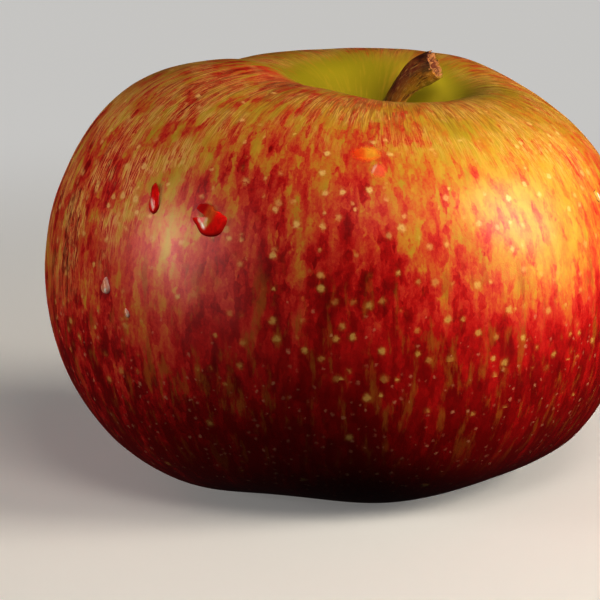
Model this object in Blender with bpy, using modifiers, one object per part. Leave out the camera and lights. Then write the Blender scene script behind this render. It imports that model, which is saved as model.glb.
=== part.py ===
"""Dessert apple, as picked: the fruit with its stalk, dried sepals and dried flower threads.

Blender 4.5, metres, +Z up.  The origin lies on the surface that the apple stands on, in
the middle of the apple's outline.  Azimuths are in degrees, counted from +X towards +Y.

Run with: blender --background --python part.py
"""

import math

import bmesh
import bpy
import numpy as np
from mathutils import Matrix, Vector

MM = 0.001

# The turned outline of the fruit, as (radius, height) in millimetres, from the foot of the
# stalk up over the rim, down the cheek and round the foot into the eye underneath.
STALK_CAVITY = [(0, 45.0), (2.6, 45.5), (6.0, 49.0), (9.6, 53.1), (13.6, 55.9)]
RIM = [(18.5, 56.9), (26.2, 55.2)]
CHEEK = [(33.2, 49.7), (38.1, 41.5), (40.1, 32.0), (40.0, 23.0), (37.9, 14.4), (33.3, 7.2)]
FOOT = [(26.4, 2.2), (20.0, 0.25), (15.2, -0.22)]
EYE_BASIN = [(10.8, 2.0), (7.2, 6.2), (3.2, 8.7), (0, 9.0)]
STEPS_PER_SPAN = 2          # outline points made between two of the points above
MERIDIANS = 60              # a multiple of the five lobes

# How the grown fruit differs from the turned one
LOBES = 5
RIM_RISE = {                # azimuth: height of the rim above the turned outline, mm
    -25: -3.3, 0: -3.3, 18: -2.2, 40: -0.4, 65: -0.1, 95: 0.0, 125: -0.3,
    152: -1.9, 183: 0.9, 207: 1.8, 232: -0.2, 252: -0.9, 270: -1.8, 290: -2.6, 312: -3.1,
}
CAVITY_SHIFT = 4.0          # the stalk cavity sits off centre, towards +X, mm
DEPTH_RATIO = 0.97          # front-to-back size over left-to-right size
CROWN_LOBE = 0.012          # how far the five lobes swell the crown
FLANK_SLOPE = (25.0, 0.012)  # azimuth and share by which one shoulder falls away
FOOT_LOBE = 0.018           # how far the five lobes swell the foot
BELLY = (-10.0, 0.026)      # azimuth and share by which the belly swells low down
FOOT_GROOVE = 0.8           # height of the grooves between the five feet, mm

GAP = 0.3                   # air left between pieces that touch in the real apple, mm

# Stalk: axis points (x, z) and radius in millimetres, from its foot to the torn end
STALK_COURSE = [
    (4.1, 46.1, 1.85), (4.5, 47.2, 1.55), (6.3, 49.4, 1.42), (8.2, 52.3, 1.4),
    (9.5, 54.3, 1.62), (10.9, 55.65, 1.95), (12.1, 56.3, 2.02), (13.4, 57.0, 2.0),
]
STALK_STEPS = 3

# Dried flower in the eye
EYE_TOP = 8.6               # height of the eye's skin around its middle, mm
SEPALS = 5
SEPAL_LENGTH = 5.6
SEPAL_WIDTH = 3.0
SEPAL_THICKNESS = 0.45
SEPAL_FOOT_RADIUS = 2.75    # distance of a sepal's foot from the middle
SEPAL_FIRST = 36.0          # azimuth of the first sepal, degrees
SEPAL_LEAN = (8.0, 95.0)    # lean away from the middle at its foot and at its tip, degrees
STAMENS = 10
STAMEN_RING = 1.55          # distance of the threads' feet from the middle
STAMEN_LENGTH = 2.5
STAMEN_RADIUS = 0.16
STYLE_LENGTH = 2.9
STYLE_RADIUS = 0.42


def smooth_step(low, high, value):
    """0 below low, 1 above high, and an even S between them."""
    share = np.clip((value - low) / (high - low), 0.0, 1.0)
    return share * share * (3.0 - 2.0 * share)


def smooth_outline(points, steps):
    """Points of a centripetal Catmull-Rom curve that meets the axis squarely at both ends."""
    knots = [Vector(point) for point in points]
    before = Vector((-knots[1].x, knots[1].y))
    after = Vector((-knots[-2].x, knots[-2].y))
    knots = [before, *knots, after]
    outline = []
    for first, start, end, last in zip(knots, knots[1:], knots[2:], knots[3:]):
        gaps = [math.sqrt((b - a).length) for a, b in ((first, start), (start, end), (end, last))]
        leave = (end - start) + gaps[1] * (
            (start - first) / gaps[0] - (end - first) / (gaps[0] + gaps[1]))
        arrive = (end - start) + gaps[1] * (
            (last - end) / gaps[2] - (last - start) / (gaps[1] + gaps[2]))
        for step in range(steps):
            t = step / steps
            cubic = 2.0 * (start - end) + leave + arrive
            square = 3.0 * (end - start) - 2.0 * leave - arrive
            outline.append(cubic * t**3 + square * t**2 + leave * t + start)
    outline.append(knots[-2])
    return outline


def rim_rise(azimuth):
    """Height of the rim above the turned outline at each azimuth in radians, in mm."""
    angles = np.array(sorted(RIM_RISE), dtype=float)
    rises = np.array([RIM_RISE[angle] for angle in sorted(RIM_RISE)])
    angles = np.concatenate([angles - 360.0, angles, angles + 360.0])
    rises = np.tile(rises, 3)
    slopes = np.gradient(rises, angles)
    slopes[1:-1] = (rises[2:] - rises[:-2]) / (angles[2:] - angles[:-2])
    degrees = np.degrees(azimuth) % 360.0
    left = np.searchsorted(angles, degrees) - 1
    width = angles[left + 1] - angles[left]
    t = (degrees - angles[left]) / width
    return ((2 * t**3 - 3 * t**2 + 1) * rises[left] + (3 * t**2 - 2 * t**3) * rises[left + 1]
            + (t**3 - 2 * t**2 + t) * width * slopes[left]
            + (t**3 - t**2) * width * slopes[left + 1])


def grown_shape(turned):
    """Moves turned points, in mm, to where they lie on the grown, lopsided fruit."""
    radius = np.hypot(turned[:, 0], turned[:, 1])
    azimuth = np.arctan2(turned[:, 1], turned[:, 0])
    height = turned[:, 2]
    crown = smooth_step(27, 50, height)
    low = 1.0 - smooth_step(2, 26, height)
    lobes = np.cos(LOBES * azimuth)
    rise = crown * smooth_step(3, 16, radius) * (1.0 - 0.8 * smooth_step(24, 39, radius))
    groove = low * smooth_step(7, 15, radius) * (1.0 - smooth_step(20, 34, radius))
    belly = np.cos(azimuth - math.radians(BELLY[0]))
    flank = np.clip(np.cos(azimuth - math.radians(FLANK_SLOPE[0])), 0.0, 1.0) ** 2
    grown = radius * (
        1.0 + CROWN_LOBE * crown * lobes
        - FLANK_SLOPE[1] * crown * flank * smooth_step(20, 32, radius)
        + FOOT_LOBE * low * lobes * smooth_step(6, 14, radius)
        + BELLY[1] * low * belly * smooth_step(10, 22, radius))
    shift = CAVITY_SHIFT * crown * (1.0 - smooth_step(10, 34, radius))
    points = np.empty_like(turned)
    points[:, 0] = grown * np.cos(azimuth) + shift
    points[:, 1] = grown * np.sin(azimuth) * DEPTH_RATIO
    points[:, 2] = height + rise * rim_rise(azimuth) + FOOT_GROOVE / 2 * groove * (1.0 - lobes)
    # Its own weight presses the lowest skin of each foot flat.
    points[:, 2] = np.maximum(points[:, 2], 0.0)
    return points


def finish(name, colour, roughness):
    """A Principled material with one colour (linear red, green, blue)."""
    material = bpy.data.materials.new(name)
    material.use_nodes = True
    shader = material.node_tree.nodes["Principled BSDF"]
    shader.inputs["Base Color"].default_value = (*colour, 1.0)
    shader.inputs["Roughness"].default_value = roughness
    shader.inputs["Metallic"].default_value = 0.0
    return material


def add_piece(name, data, material, parent, place=Matrix.Identity(4)):
    """Adds one named piece with its material, placed under the apple's empty."""
    if not data.materials:
        data.materials.append(material)
    piece = bpy.data.objects.new(name, data)
    bpy.data.collections["apple"].objects.link(piece)
    piece.parent = parent
    piece.matrix_local = place
    return piece


def turned_mesh():
    """The fruit's outline turned about +Z by a Screw modifier, as a closed mesh."""
    outline = bpy.data.meshes.new("fruit_outline")
    build = bmesh.new()
    points = STALK_CAVITY + RIM + CHEEK + FOOT + EYE_BASIN
    verts = [build.verts.new((point.x * MM, 0.0, point.y * MM))
             for point in smooth_outline(points, STEPS_PER_SPAN)]
    for upper, lower in zip(verts, verts[1:]):
        build.edges.new((upper, lower))
    build.to_mesh(outline)
    build.free()
    guide = bpy.data.objects.new("fruit_outline", outline)
    bpy.data.collections["apple"].objects.link(guide)
    screw = guide.modifiers.new("turn", "SCREW")
    screw.steps = MERIDIANS
    screw.render_steps = MERIDIANS
    screw.use_merge_vertices = True
    screw.merge_threshold = 0.00001
    screw.use_smooth_shade = True
    turned = guide.evaluated_get(bpy.context.evaluated_depsgraph_get())
    mesh = bpy.data.meshes.new_from_object(turned)
    bpy.data.objects.remove(guide)
    bpy.data.meshes.remove(outline)
    return mesh


def make_fruit(parent):
    """The flesh and skin in one solid: turned first, then grown lopsided and lobed."""
    mesh = turned_mesh()
    mesh.name = "fruit"
    places = np.empty(len(mesh.vertices) * 3, dtype=np.float32)
    mesh.vertices.foreach_get("co", places)
    turned = places.reshape(-1, 3).astype(float) / MM
    mesh.vertices.foreach_set("co", (grown_shape(turned) * MM).astype(np.float32).ravel())
    mesh.update()
    add_piece("fruit", mesh, finish("skin", (0.62, 0.16, 0.05), 0.38), parent)


def make_stalk(parent):
    """The woody stalk, leaning towards +X, with a swollen end where it broke off."""
    foot = Vector((STALK_COURSE[0][0], 0.0, STALK_COURSE[0][1])) * MM
    knots = [Vector((x, z, radius)) for x, z, radius in STALK_COURSE]
    knots = [2 * knots[0] - knots[1], *knots, 2 * knots[-1] - knots[-2]]
    course = []
    for first, start, end, last in zip(knots, knots[1:], knots[2:], knots[3:]):
        for step in range(STALK_STEPS):
            t = step / STALK_STEPS
            course.append(0.5 * (
                2 * start + (end - first) * t
                + (2 * first - 5 * start + 4 * end - last) * t**2
                + (3 * start - first - 3 * end + last) * t**3))
    course.append(knots[-2])
    data = bpy.data.curves.new("stalk", "CURVE")
    data.dimensions = "3D"
    data.bevel_depth = MM
    data.bevel_resolution = 4
    data.use_fill_caps = True
    spline = data.splines.new("POLY")
    spline.points.add(len(course) - 1)
    for point, knot in zip(spline.points, course):
        point.co = (*(Vector((knot.x, 0.0, knot.y)) * MM - foot), 1.0)
        point.radius = knot.z
    add_piece("stalk", data, finish("stalk_bark", (0.10, 0.055, 0.03), 0.8), parent,
              Matrix.Translation(foot))


def sepal_mesh():
    """One dried sepal: a pointed leaf, hanging from the eye and curling outwards."""
    build = bmesh.new()
    bmesh.ops.create_grid(build, x_segments=2, y_segments=5, size=0.5)
    for vert in build.verts:
        along = vert.co.y + 0.5
        across = 2.0 * vert.co.x
        half_width = SEPAL_WIDTH / 2 * (1.0 - 0.86 * along**1.4)
        bow = 0.35 * (1.0 - across * across) * math.sin(math.pi * along)
        lean = [math.radians(angle) for angle in SEPAL_LEAN]
        turn = (lean[1] - lean[0]) * along
        chord = SEPAL_LENGTH * along * (math.sin(turn / 2) / (turn / 2) if turn else 1.0)
        heading = lean[0] + turn / 2
        out = chord * math.sin(heading) + bow * math.cos(lean[0] + turn)
        down = chord * math.cos(heading) - bow * math.sin(lean[0] + turn)
        vert.co = Vector((out, across * half_width, -down)) * MM
    bmesh.ops.recalc_face_normals(build, faces=build.faces)
    mesh = bpy.data.meshes.new("sepal")
    build.to_mesh(mesh)
    build.free()
    return mesh


def make_sepals(parent):
    """Five equal sepals around the eye."""
    mesh = sepal_mesh()
    material = finish("sepal_dry", (0.16, 0.10, 0.055), 0.85)
    for number in range(SEPALS):
        azimuth = math.radians(SEPAL_FIRST + 360.0 / SEPALS * number)
        foot = Vector((SEPAL_FOOT_RADIUS, 0.0, EYE_TOP - GAP - SEPAL_THICKNESS / 2)) * MM
        place = Matrix.Rotation(azimuth, 4, "Z") @ Matrix.Translation(foot)
        sepal = add_piece(f"sepal_{number + 1}", mesh, material, parent, place)
        shell = sepal.modifiers.new("thickness", "SOLIDIFY")
        shell.thickness = SEPAL_THICKNESS * MM
        shell.offset = 0.0
        softness = sepal.modifiers.new("softness", "SUBSURF")
        softness.levels = 1
        softness.render_levels = 1
        mesh.shade_smooth()


def thread(name, course, radius):
    """A round thread through the given points, in mm, with closed ends."""
    data = bpy.data.curves.new(name, "CURVE")
    data.dimensions = "3D"
    data.bevel_depth = radius * MM
    data.bevel_resolution = 2
    data.use_fill_caps = True
    spline = data.splines.new("POLY")
    spline.points.add(len(course) - 1)
    for point, place in zip(spline.points, course):
        point.co = (*(Vector(place) * MM), 1.0)
    return data


def make_flower_threads(parent):
    """The dried style in the middle of the eye and the ring of dried stamens around it."""
    material = finish("flower_dry", (0.07, 0.045, 0.03), 0.9)
    top = Matrix.Translation((0.0, 0.0, (EYE_TOP - GAP) * MM))
    style = [(0.0, 0.0, 0.0), (0.05, 0.0, -0.4 * STYLE_LENGTH), (0.25, 0.1, -STYLE_LENGTH)]
    add_piece("style", thread("style", style, STYLE_RADIUS), material, parent, top)
    bend = [(STAMEN_RING, 0.0, 0.0), (STAMEN_RING + 0.05, 0.06, -0.45 * STAMEN_LENGTH),
            (STAMEN_RING - 0.12, 0.1, -0.8 * STAMEN_LENGTH),
            (STAMEN_RING - 0.3, 0.1, -STAMEN_LENGTH)]
    data = thread("stamen", bend, STAMEN_RADIUS)
    for number in range(STAMENS):
        turn = Matrix.Rotation(2 * math.pi * (number + 0.5) / STAMENS, 4, "Z")
        add_piece(f"stamen_{number + 1}", data, material, parent, top @ turn)


def main():
    """Clears the scene and builds every piece of the apple."""
    for old in list(bpy.data.objects):
        bpy.data.objects.remove(old)
    apple = bpy.data.collections.new("apple")
    bpy.context.scene.collection.children.link(apple)
    middle = bpy.data.objects.new("apple_middle", None)
    apple.objects.link(middle)
    make_fruit(middle)
    make_stalk(middle)
    make_sepals(middle)
    make_flower_threads(middle)
    bpy.context.view_layer.update()


main()
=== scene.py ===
"""Visual model of a ripe dessert apple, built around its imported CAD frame.

The fruit, its stalk and the dried flower in its eye are modelled again in full detail, and
take the places of the CAD nodes.  Drops of water lie on the skin.  Lengths inside the classes
are millimetres, azimuths are degrees counted from +X towards +Y, and meshes are metres.
"""

from __future__ import annotations

import logging
import math
import random
from dataclasses import dataclass
from enum import Enum

import bmesh
import bpy
import numpy as np
from mathutils import Matrix, Vector, noise
from mathutils.bvhtree import BVHTree


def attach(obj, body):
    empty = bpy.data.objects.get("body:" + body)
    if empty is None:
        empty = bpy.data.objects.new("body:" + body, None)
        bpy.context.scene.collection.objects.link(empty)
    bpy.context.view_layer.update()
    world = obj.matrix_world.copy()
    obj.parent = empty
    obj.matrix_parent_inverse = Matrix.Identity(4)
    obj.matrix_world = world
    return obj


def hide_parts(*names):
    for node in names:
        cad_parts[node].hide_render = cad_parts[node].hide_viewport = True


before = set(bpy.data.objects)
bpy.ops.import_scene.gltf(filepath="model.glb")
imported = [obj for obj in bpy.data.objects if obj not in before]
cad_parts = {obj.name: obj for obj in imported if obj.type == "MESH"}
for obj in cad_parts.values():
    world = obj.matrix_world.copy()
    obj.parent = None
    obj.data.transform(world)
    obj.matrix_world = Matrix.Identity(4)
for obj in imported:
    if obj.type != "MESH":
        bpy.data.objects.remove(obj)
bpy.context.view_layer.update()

LOG = logging.getLogger("apple")
MM = 0.001
BODY = "root"

Colour = tuple[float, float, float]
Feed = "bpy.types.NodeSocket | float | tuple | Vector"


class Slot(Enum):
    """The record's material slots."""

    SKIN = "skin"
    BARK = "stalk_bark"
    SEPAL = "sepal_dry"
    FLOWER = "flower_dry"


# ---------------------------------------------------------------- small shared mathematics


def smooth_step(low: float, high: float, value: np.ndarray) -> np.ndarray:
    """An even S from 0 to 1.

    Args:
        low: Value at and below which the result is 0.
        high: Value at and above which the result is 1.
        value: Values to look up.

    Returns:
        The step's height for each value.
    """
    share = np.clip((value - low) / (high - low), 0.0, 1.0)
    return share * share * (3.0 - 2.0 * share)


def smooth_curve(points: list[Vector], steps: int) -> list[Vector]:
    """Points of a centripetal Catmull-Rom curve through all but the first and last point.

    Args:
        points: The curve's knots, with one guiding point before and one after them.
        steps: How many points each span between two knots is given.

    Returns:
        The curve's points, from its first knot to its last.
    """
    curve = []
    for first, start, end, last in zip(points, points[1:], points[2:], points[3:]):
        gaps = [math.sqrt((b - a).length) for a, b in ((first, start), (start, end), (end, last))]
        leave = (end - start) + gaps[1] * (
            (start - first) / gaps[0] - (end - first) / (gaps[0] + gaps[1]))
        arrive = (end - start) + gaps[1] * (
            (last - end) / gaps[2] - (last - start) / (gaps[1] + gaps[2]))
        cubic = 2.0 * (start - end) + leave + arrive
        square = 3.0 * (end - start) - 2.0 * leave - arrive
        for step in range(steps):
            t = step / steps
            curve.append(cubic * t**3 + square * t**2 + leave * t + start)
    curve.append(points[-2].copy())
    return curve


def around(knots: dict[float, float], degrees: np.ndarray) -> np.ndarray:
    """A smooth closed curve through values that are given at some azimuths.

    Args:
        knots: Value by azimuth in degrees.
        degrees: Azimuths to look up.

    Returns:
        The value at each azimuth.
    """
    angles = np.array(sorted(knots), dtype=float)
    values = np.array([knots[angle] for angle in sorted(knots)], dtype=float)
    angles = np.concatenate([angles - 360.0, angles, angles + 360.0])
    values = np.tile(values, 3)
    slopes = np.zeros_like(values)
    slopes[1:-1] = (values[2:] - values[:-2]) / (angles[2:] - angles[:-2])
    degrees = np.asarray(degrees, dtype=float) % 360.0
    left = np.searchsorted(angles, degrees) - 1
    width = angles[left + 1] - angles[left]
    t = (degrees - angles[left]) / width
    return ((2 * t**3 - 3 * t**2 + 1) * values[left] + (3 * t**2 - 2 * t**3) * values[left + 1]
            + (t**3 - 2 * t**2 + t) * width * slopes[left]
            + (t**3 - t**2) * width * slopes[left + 1])


# ------------------------------------------------------------------------- shader workbench


@dataclass(frozen=True)
class Bench:
    """Adds and joins the nodes of one material or node group."""

    tree: bpy.types.NodeTree

    def put(self, kind: str, **settings: object) -> bpy.types.Node:
        """Adds a node.

        Args:
            kind: The node's type, such as ShaderNodeMath.
            settings: Properties to set on it.

        Returns:
            The new node.
        """
        node = self.tree.nodes.new(kind)
        for name, value in settings.items():
            setattr(node, name, value)
        return node

    def feed(self, socket: bpy.types.NodeSocket, value: Feed) -> None:
        """Joins an output to a socket, or sets the socket's own value.

        Args:
            socket: The input socket.
            value: The output that it takes, or its own value.
        """
        if isinstance(value, bpy.types.NodeSocket):
            self.tree.links.new(value, socket)
        else:
            socket.default_value = value

    def maths(self, operation: str, *values: Feed, clamp: bool = False) -> bpy.types.NodeSocket:
        """A piece of arithmetic on one to three values.

        Args:
            operation: What it does, such as ADD.
            values: The values that it works on.
            clamp: Whether the result is kept between 0 and 1.

        Returns:
            The result.
        """
        node = self.put("ShaderNodeMath", operation=operation, use_clamp=clamp)
        for socket, value in zip(node.inputs, values):
            self.feed(socket, value)
        return node.outputs[0]

    def total(self, *values: Feed) -> bpy.types.NodeSocket:
        """The sum of two or more values.

        Args:
            values: The values, added in order.

        Returns:
            Their sum.
        """
        result = values[0]
        for value in values[1:]:
            result = self.maths("ADD", result, value)
        return result

    def product(self, *values: Feed) -> bpy.types.NodeSocket:
        """The product of two or more values, such as masks that have to hold together.

        Args:
            values: The values, multiplied in order.

        Returns:
            Their product.
        """
        result = values[0]
        for value in values[1:]:
            result = self.maths("MULTIPLY", result, value)
        return result

    def swing(self, value: Feed, amount: Feed) -> bpy.types.NodeSocket:
        """Turns noise around 0.5 into noise around 0 of the given amount."""
        return self.product(self.maths("SUBTRACT", value, 0.5), amount)

    def step(self, value: Feed, low: Feed, high: Feed) -> bpy.types.NodeSocket:
        """An even S from 0 to 1.

        Args:
            value: The value to look up.
            low: Where the result is 0, below or above high.
            high: Where the result is 1.

        Returns:
            The step's height.
        """
        node = self.put("ShaderNodeMapRange", interpolation_type="SMOOTHSTEP")
        self.feed(node.inputs["Value"], value)
        self.feed(node.inputs["From Min"], low)
        self.feed(node.inputs["From Max"], high)
        return node.outputs["Result"]

    def stretch(self, vector: Feed, scale: tuple,
                shift: tuple = (0, 0, 0)) -> bpy.types.NodeSocket:
        """Scales and shifts a coordinate.

        Args:
            vector: The coordinate.
            scale: Its scale along each axis.
            shift: What is added afterwards.

        Returns:
            The new coordinate.
        """
        node = self.put("ShaderNodeMapping")
        self.feed(node.inputs["Vector"], vector)
        node.inputs["Scale"].default_value = scale
        node.inputs["Location"].default_value = shift
        return node.outputs["Vector"]

    def noise(self, vector: Feed, detail: float = 2.0, roughness: float = 0.5,
              distortion: float = 0.0) -> bpy.types.NodeSocket:
        """Cloudy noise around 0.5, with lumps about one unit of the coordinate wide.

        Args:
            vector: The coordinate.
            detail: How many finer layers are added.
            roughness: How strong the finer layers are.
            distortion: How much the lumps are bent.

        Returns:
            The noise.
        """
        node = self.put("ShaderNodeTexNoise")
        self.feed(node.inputs["Vector"], vector)
        node.inputs["Scale"].default_value = 1.0
        node.inputs["Detail"].default_value = detail
        node.inputs["Roughness"].default_value = roughness
        node.inputs["Distortion"].default_value = distortion
        return node.outputs["Fac"]

    def warped(self, vector: Feed, scale: tuple, reach: tuple) -> bpy.types.NodeSocket:
        """Moves a coordinate about, so that what it carries is not too regular.

        Args:
            vector: The coordinate.
            scale: Scale of the moves along each axis.
            reach: The furthest move along each axis.

        Returns:
            The moved coordinate.
        """
        bent = self.put("ShaderNodeTexNoise")
        self.feed(bent.inputs["Vector"], self.stretch(vector, scale))
        bent.inputs["Scale"].default_value = 1.0
        moved = self.put("ShaderNodeVectorMath", operation="MULTIPLY_ADD")
        self.feed(moved.inputs[0], bent.outputs["Color"])
        moved.inputs[1].default_value = reach
        self.feed(moved.inputs[2], vector)
        return moved.outputs[0]

    def lines(self, cloud: Feed, edge: float, core: float) -> bpy.types.NodeSocket:
        """Thin lines where noise crosses 0.5, whole within core of it and gone at edge."""
        return self.step(self.maths("ABSOLUTE", self.swing(cloud, 1.0)), edge, core)

    def split(self, value: Feed, kind: str = "XYZ") -> list[bpy.types.NodeSocket]:
        """The three parts of a coordinate or a colour.

        Args:
            value: The coordinate or colour.
            kind: XYZ for a coordinate, Color for a colour.

        Returns:
            Its parts.
        """
        node = self.put(f"ShaderNodeSeparate{kind}")
        self.feed(node.inputs[0], value)
        return list(node.outputs)

    def mix(self, share: Feed, low: Feed, high: Feed) -> bpy.types.NodeSocket:
        """A colour between two.

        Args:
            share: The place between them, from 0 to 1.
            low: The colour at 0.
            high: The colour at 1.

        Returns:
            The colour.
        """
        node = self.put("ShaderNodeMix", data_type="RGBA")
        self.feed(node.inputs[0], share)
        for socket, colour in ((node.inputs[6], low), (node.inputs[7], high)):
            self.feed(socket, (*colour, 1.0) if isinstance(colour, tuple) else colour)
        return node.outputs[2]

    def lay(self, colour: Feed, tone: Feed, mask: Feed, cover: Feed) -> bpy.types.NodeSocket:
        """Lays a tone over a colour where the mask shows, hiding the share cover of it."""
        return self.mix(self.product(mask, cover), colour, tone)

    def ramp(self, value: Feed, stops: tuple[tuple[float, Colour], ...]) -> bpy.types.NodeSocket:
        """A soft blend through several colours.

        Args:
            value: The value to look up, from 0 to 1.
            stops: Each colour with the value that it stands at, in order.

        Returns:
            The colour.
        """
        node = self.put("ShaderNodeValToRGB")
        ramp = node.color_ramp
        ramp.interpolation = "LINEAR"
        while len(ramp.elements) < len(stops):
            ramp.elements.new(1.0)
        for element, (place, colour) in zip(ramp.elements, stops):
            element.position = place
            element.color = (*colour, 1.0)
        self.feed(node.inputs[0], value)
        return node.outputs[0]

    def bump(self, height: Feed, strength: float, depth: float) -> bpy.types.NodeSocket:
        """Fine relief.

        Args:
            height: Height of the surface, around one unit high.
            strength: How strongly it shows.
            depth: What one unit of height stands for, in millimetres.

        Returns:
            The normal for the shader.
        """
        node = self.put("ShaderNodeBump")
        node.inputs["Strength"].default_value = strength
        node.inputs["Distance"].default_value = depth * MM
        self.feed(node.inputs["Height"], height)
        return node.outputs[0]

    def attribute(self, name: str, output: str = "Vector") -> bpy.types.NodeSocket:
        """An attribute of the mesh."""
        return self.put("ShaderNodeAttribute", attribute_name=name).outputs[output]

    def place(self) -> bpy.types.NodeSocket:
        """The place on the object, in millimetres."""
        spot = self.put("ShaderNodeTexCoord").outputs["Object"]
        return self.stretch(spot, (1 / MM, 1 / MM, 1 / MM))


def new_material(name: str) -> tuple[bpy.types.Material, Bench, bpy.types.Node]:
    """A node material with its workbench.

    Args:
        name: The material's name.

    Returns:
        The material, its workbench, and its Principled shader.
    """
    material = bpy.data.materials.new(name)
    material.use_nodes = True
    shader = material.node_tree.nodes["Principled BSDF"]
    return material, Bench(material.node_tree), shader


class Effects:
    """Shader node groups that more than one material uses, each built once."""

    @staticmethod
    def _group(name: str, inputs: dict[str, tuple[str, float]],
               outputs: list[str]) -> bpy.types.NodeTree:
        """A new node group with its sockets.

        Args:
            name: The group's name.
            inputs: Kind and own value of each input, by name.
            outputs: Names of the outputs, which all carry values.

        Returns:
            The group, still empty.
        """
        group = bpy.data.node_groups.new(name, "ShaderNodeTree")
        for socket, (kind, value) in inputs.items():
            made = group.interface.new_socket(socket, in_out="INPUT", socket_type=kind)
            if kind == "NodeSocketFloat":
                made.default_value = value
        for socket in outputs:
            group.interface.new_socket(socket, in_out="OUTPUT", socket_type="NodeSocketFloat")
        return group

    @staticmethod
    def fibre() -> bpy.types.NodeTree:
        """Lengthwise fibres: long ridges with finer threads between them.

        Returns:
            The group, built at its first use.
        """
        name = "dry_fibre"
        if name in bpy.data.node_groups:
            return bpy.data.node_groups[name]
        group = Effects._group(
            name,
            {"Grain": ("NodeSocketVector", 0.0), "Coarseness": ("NodeSocketFloat", 1.0)},
            ["Ridge", "Thread"])
        bench = Bench(group)
        given = bench.put("NodeGroupInput")
        sized = bench.put("ShaderNodeVectorMath", operation="SCALE")
        bench.feed(sized.inputs[0], given.outputs["Grain"])
        bench.feed(sized.inputs["Scale"], given.outputs["Coarseness"])
        grain = sized.outputs[0]
        made = bench.put("NodeGroupOutput")
        ridge = bench.noise(bench.stretch(grain, (2.6, 2.6, 0.32)), 3.0, 0.6, 0.3)
        thread = bench.noise(bench.stretch(grain, (9.0, 9.0, 0.9)), 3.0, 0.65)
        bench.feed(made.inputs["Ridge"], ridge)
        bench.feed(made.inputs["Thread"], thread)
        return group

    @staticmethod
    def use(bench: Bench, group: bpy.types.NodeTree, **values: Feed) -> bpy.types.Node:
        """Places a group in a material, with its own values.

        Args:
            bench: The material's workbench.
            group: The group.
            values: What its inputs take, by name.

        Returns:
            The node, with the group's outputs.
        """
        node = bench.put("ShaderNodeGroup")
        node.node_tree = group
        for name, value in values.items():
            bench.feed(node.inputs[name], value)
        return node


# ------------------------------------------------------------------- shared work on meshes


def extruded(bench: bmesh.types.BMesh, edges: list) -> tuple[list, list]:
    """Extrudes a ring of edges, with the new ring still in the same place.

    Args:
        bench: The mesh at work.
        edges: The ring's edges.

    Returns:
        The vertices and the edges of the new ring.
    """
    made = bmesh.ops.extrude_edge_only(bench, edges=edges)["geom"]
    return ([part for part in made if isinstance(part, bmesh.types.BMVert)],
            [part for part in made if isinstance(part, bmesh.types.BMEdge)])


def finished(bench: bmesh.types.BMesh, name: str, smooth: bool = True) -> bpy.types.Mesh:
    """Ends the work on a mesh.

    Args:
        bench: The mesh at work, which is freed.
        name: The finished mesh's name.
        smooth: Whether its faces are shaded smooth.

    Returns:
        The finished mesh.
    """
    mesh = bpy.data.meshes.new(name)
    bench.to_mesh(mesh)
    bench.free()
    if smooth:
        mesh.shade_smooth()
    return mesh


def add_piece(name: str, mesh: bpy.types.Mesh, material: bpy.types.Material,
              slot: Slot | None = None, *nodes: str) -> bpy.types.Object:
    """Adds a finished piece to the scene.

    Args:
        name: The piece's name.
        mesh: Its mesh, in metres, in the shared frame.
        material: Its finish.
        slot: The record's material slot that it belongs to, if any; not used.
        nodes: The CAD nodes that it stands for.

    Returns:
        The piece, riding on the apple.
    """
    mesh.materials.append(material)
    piece = bpy.data.objects.new(name, mesh)
    bpy.context.scene.collection.objects.link(piece)
    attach(piece, BODY)
    if nodes:
        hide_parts(*nodes)
    return piece


# ------------------------------------------------------------------------------- the fruit


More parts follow.
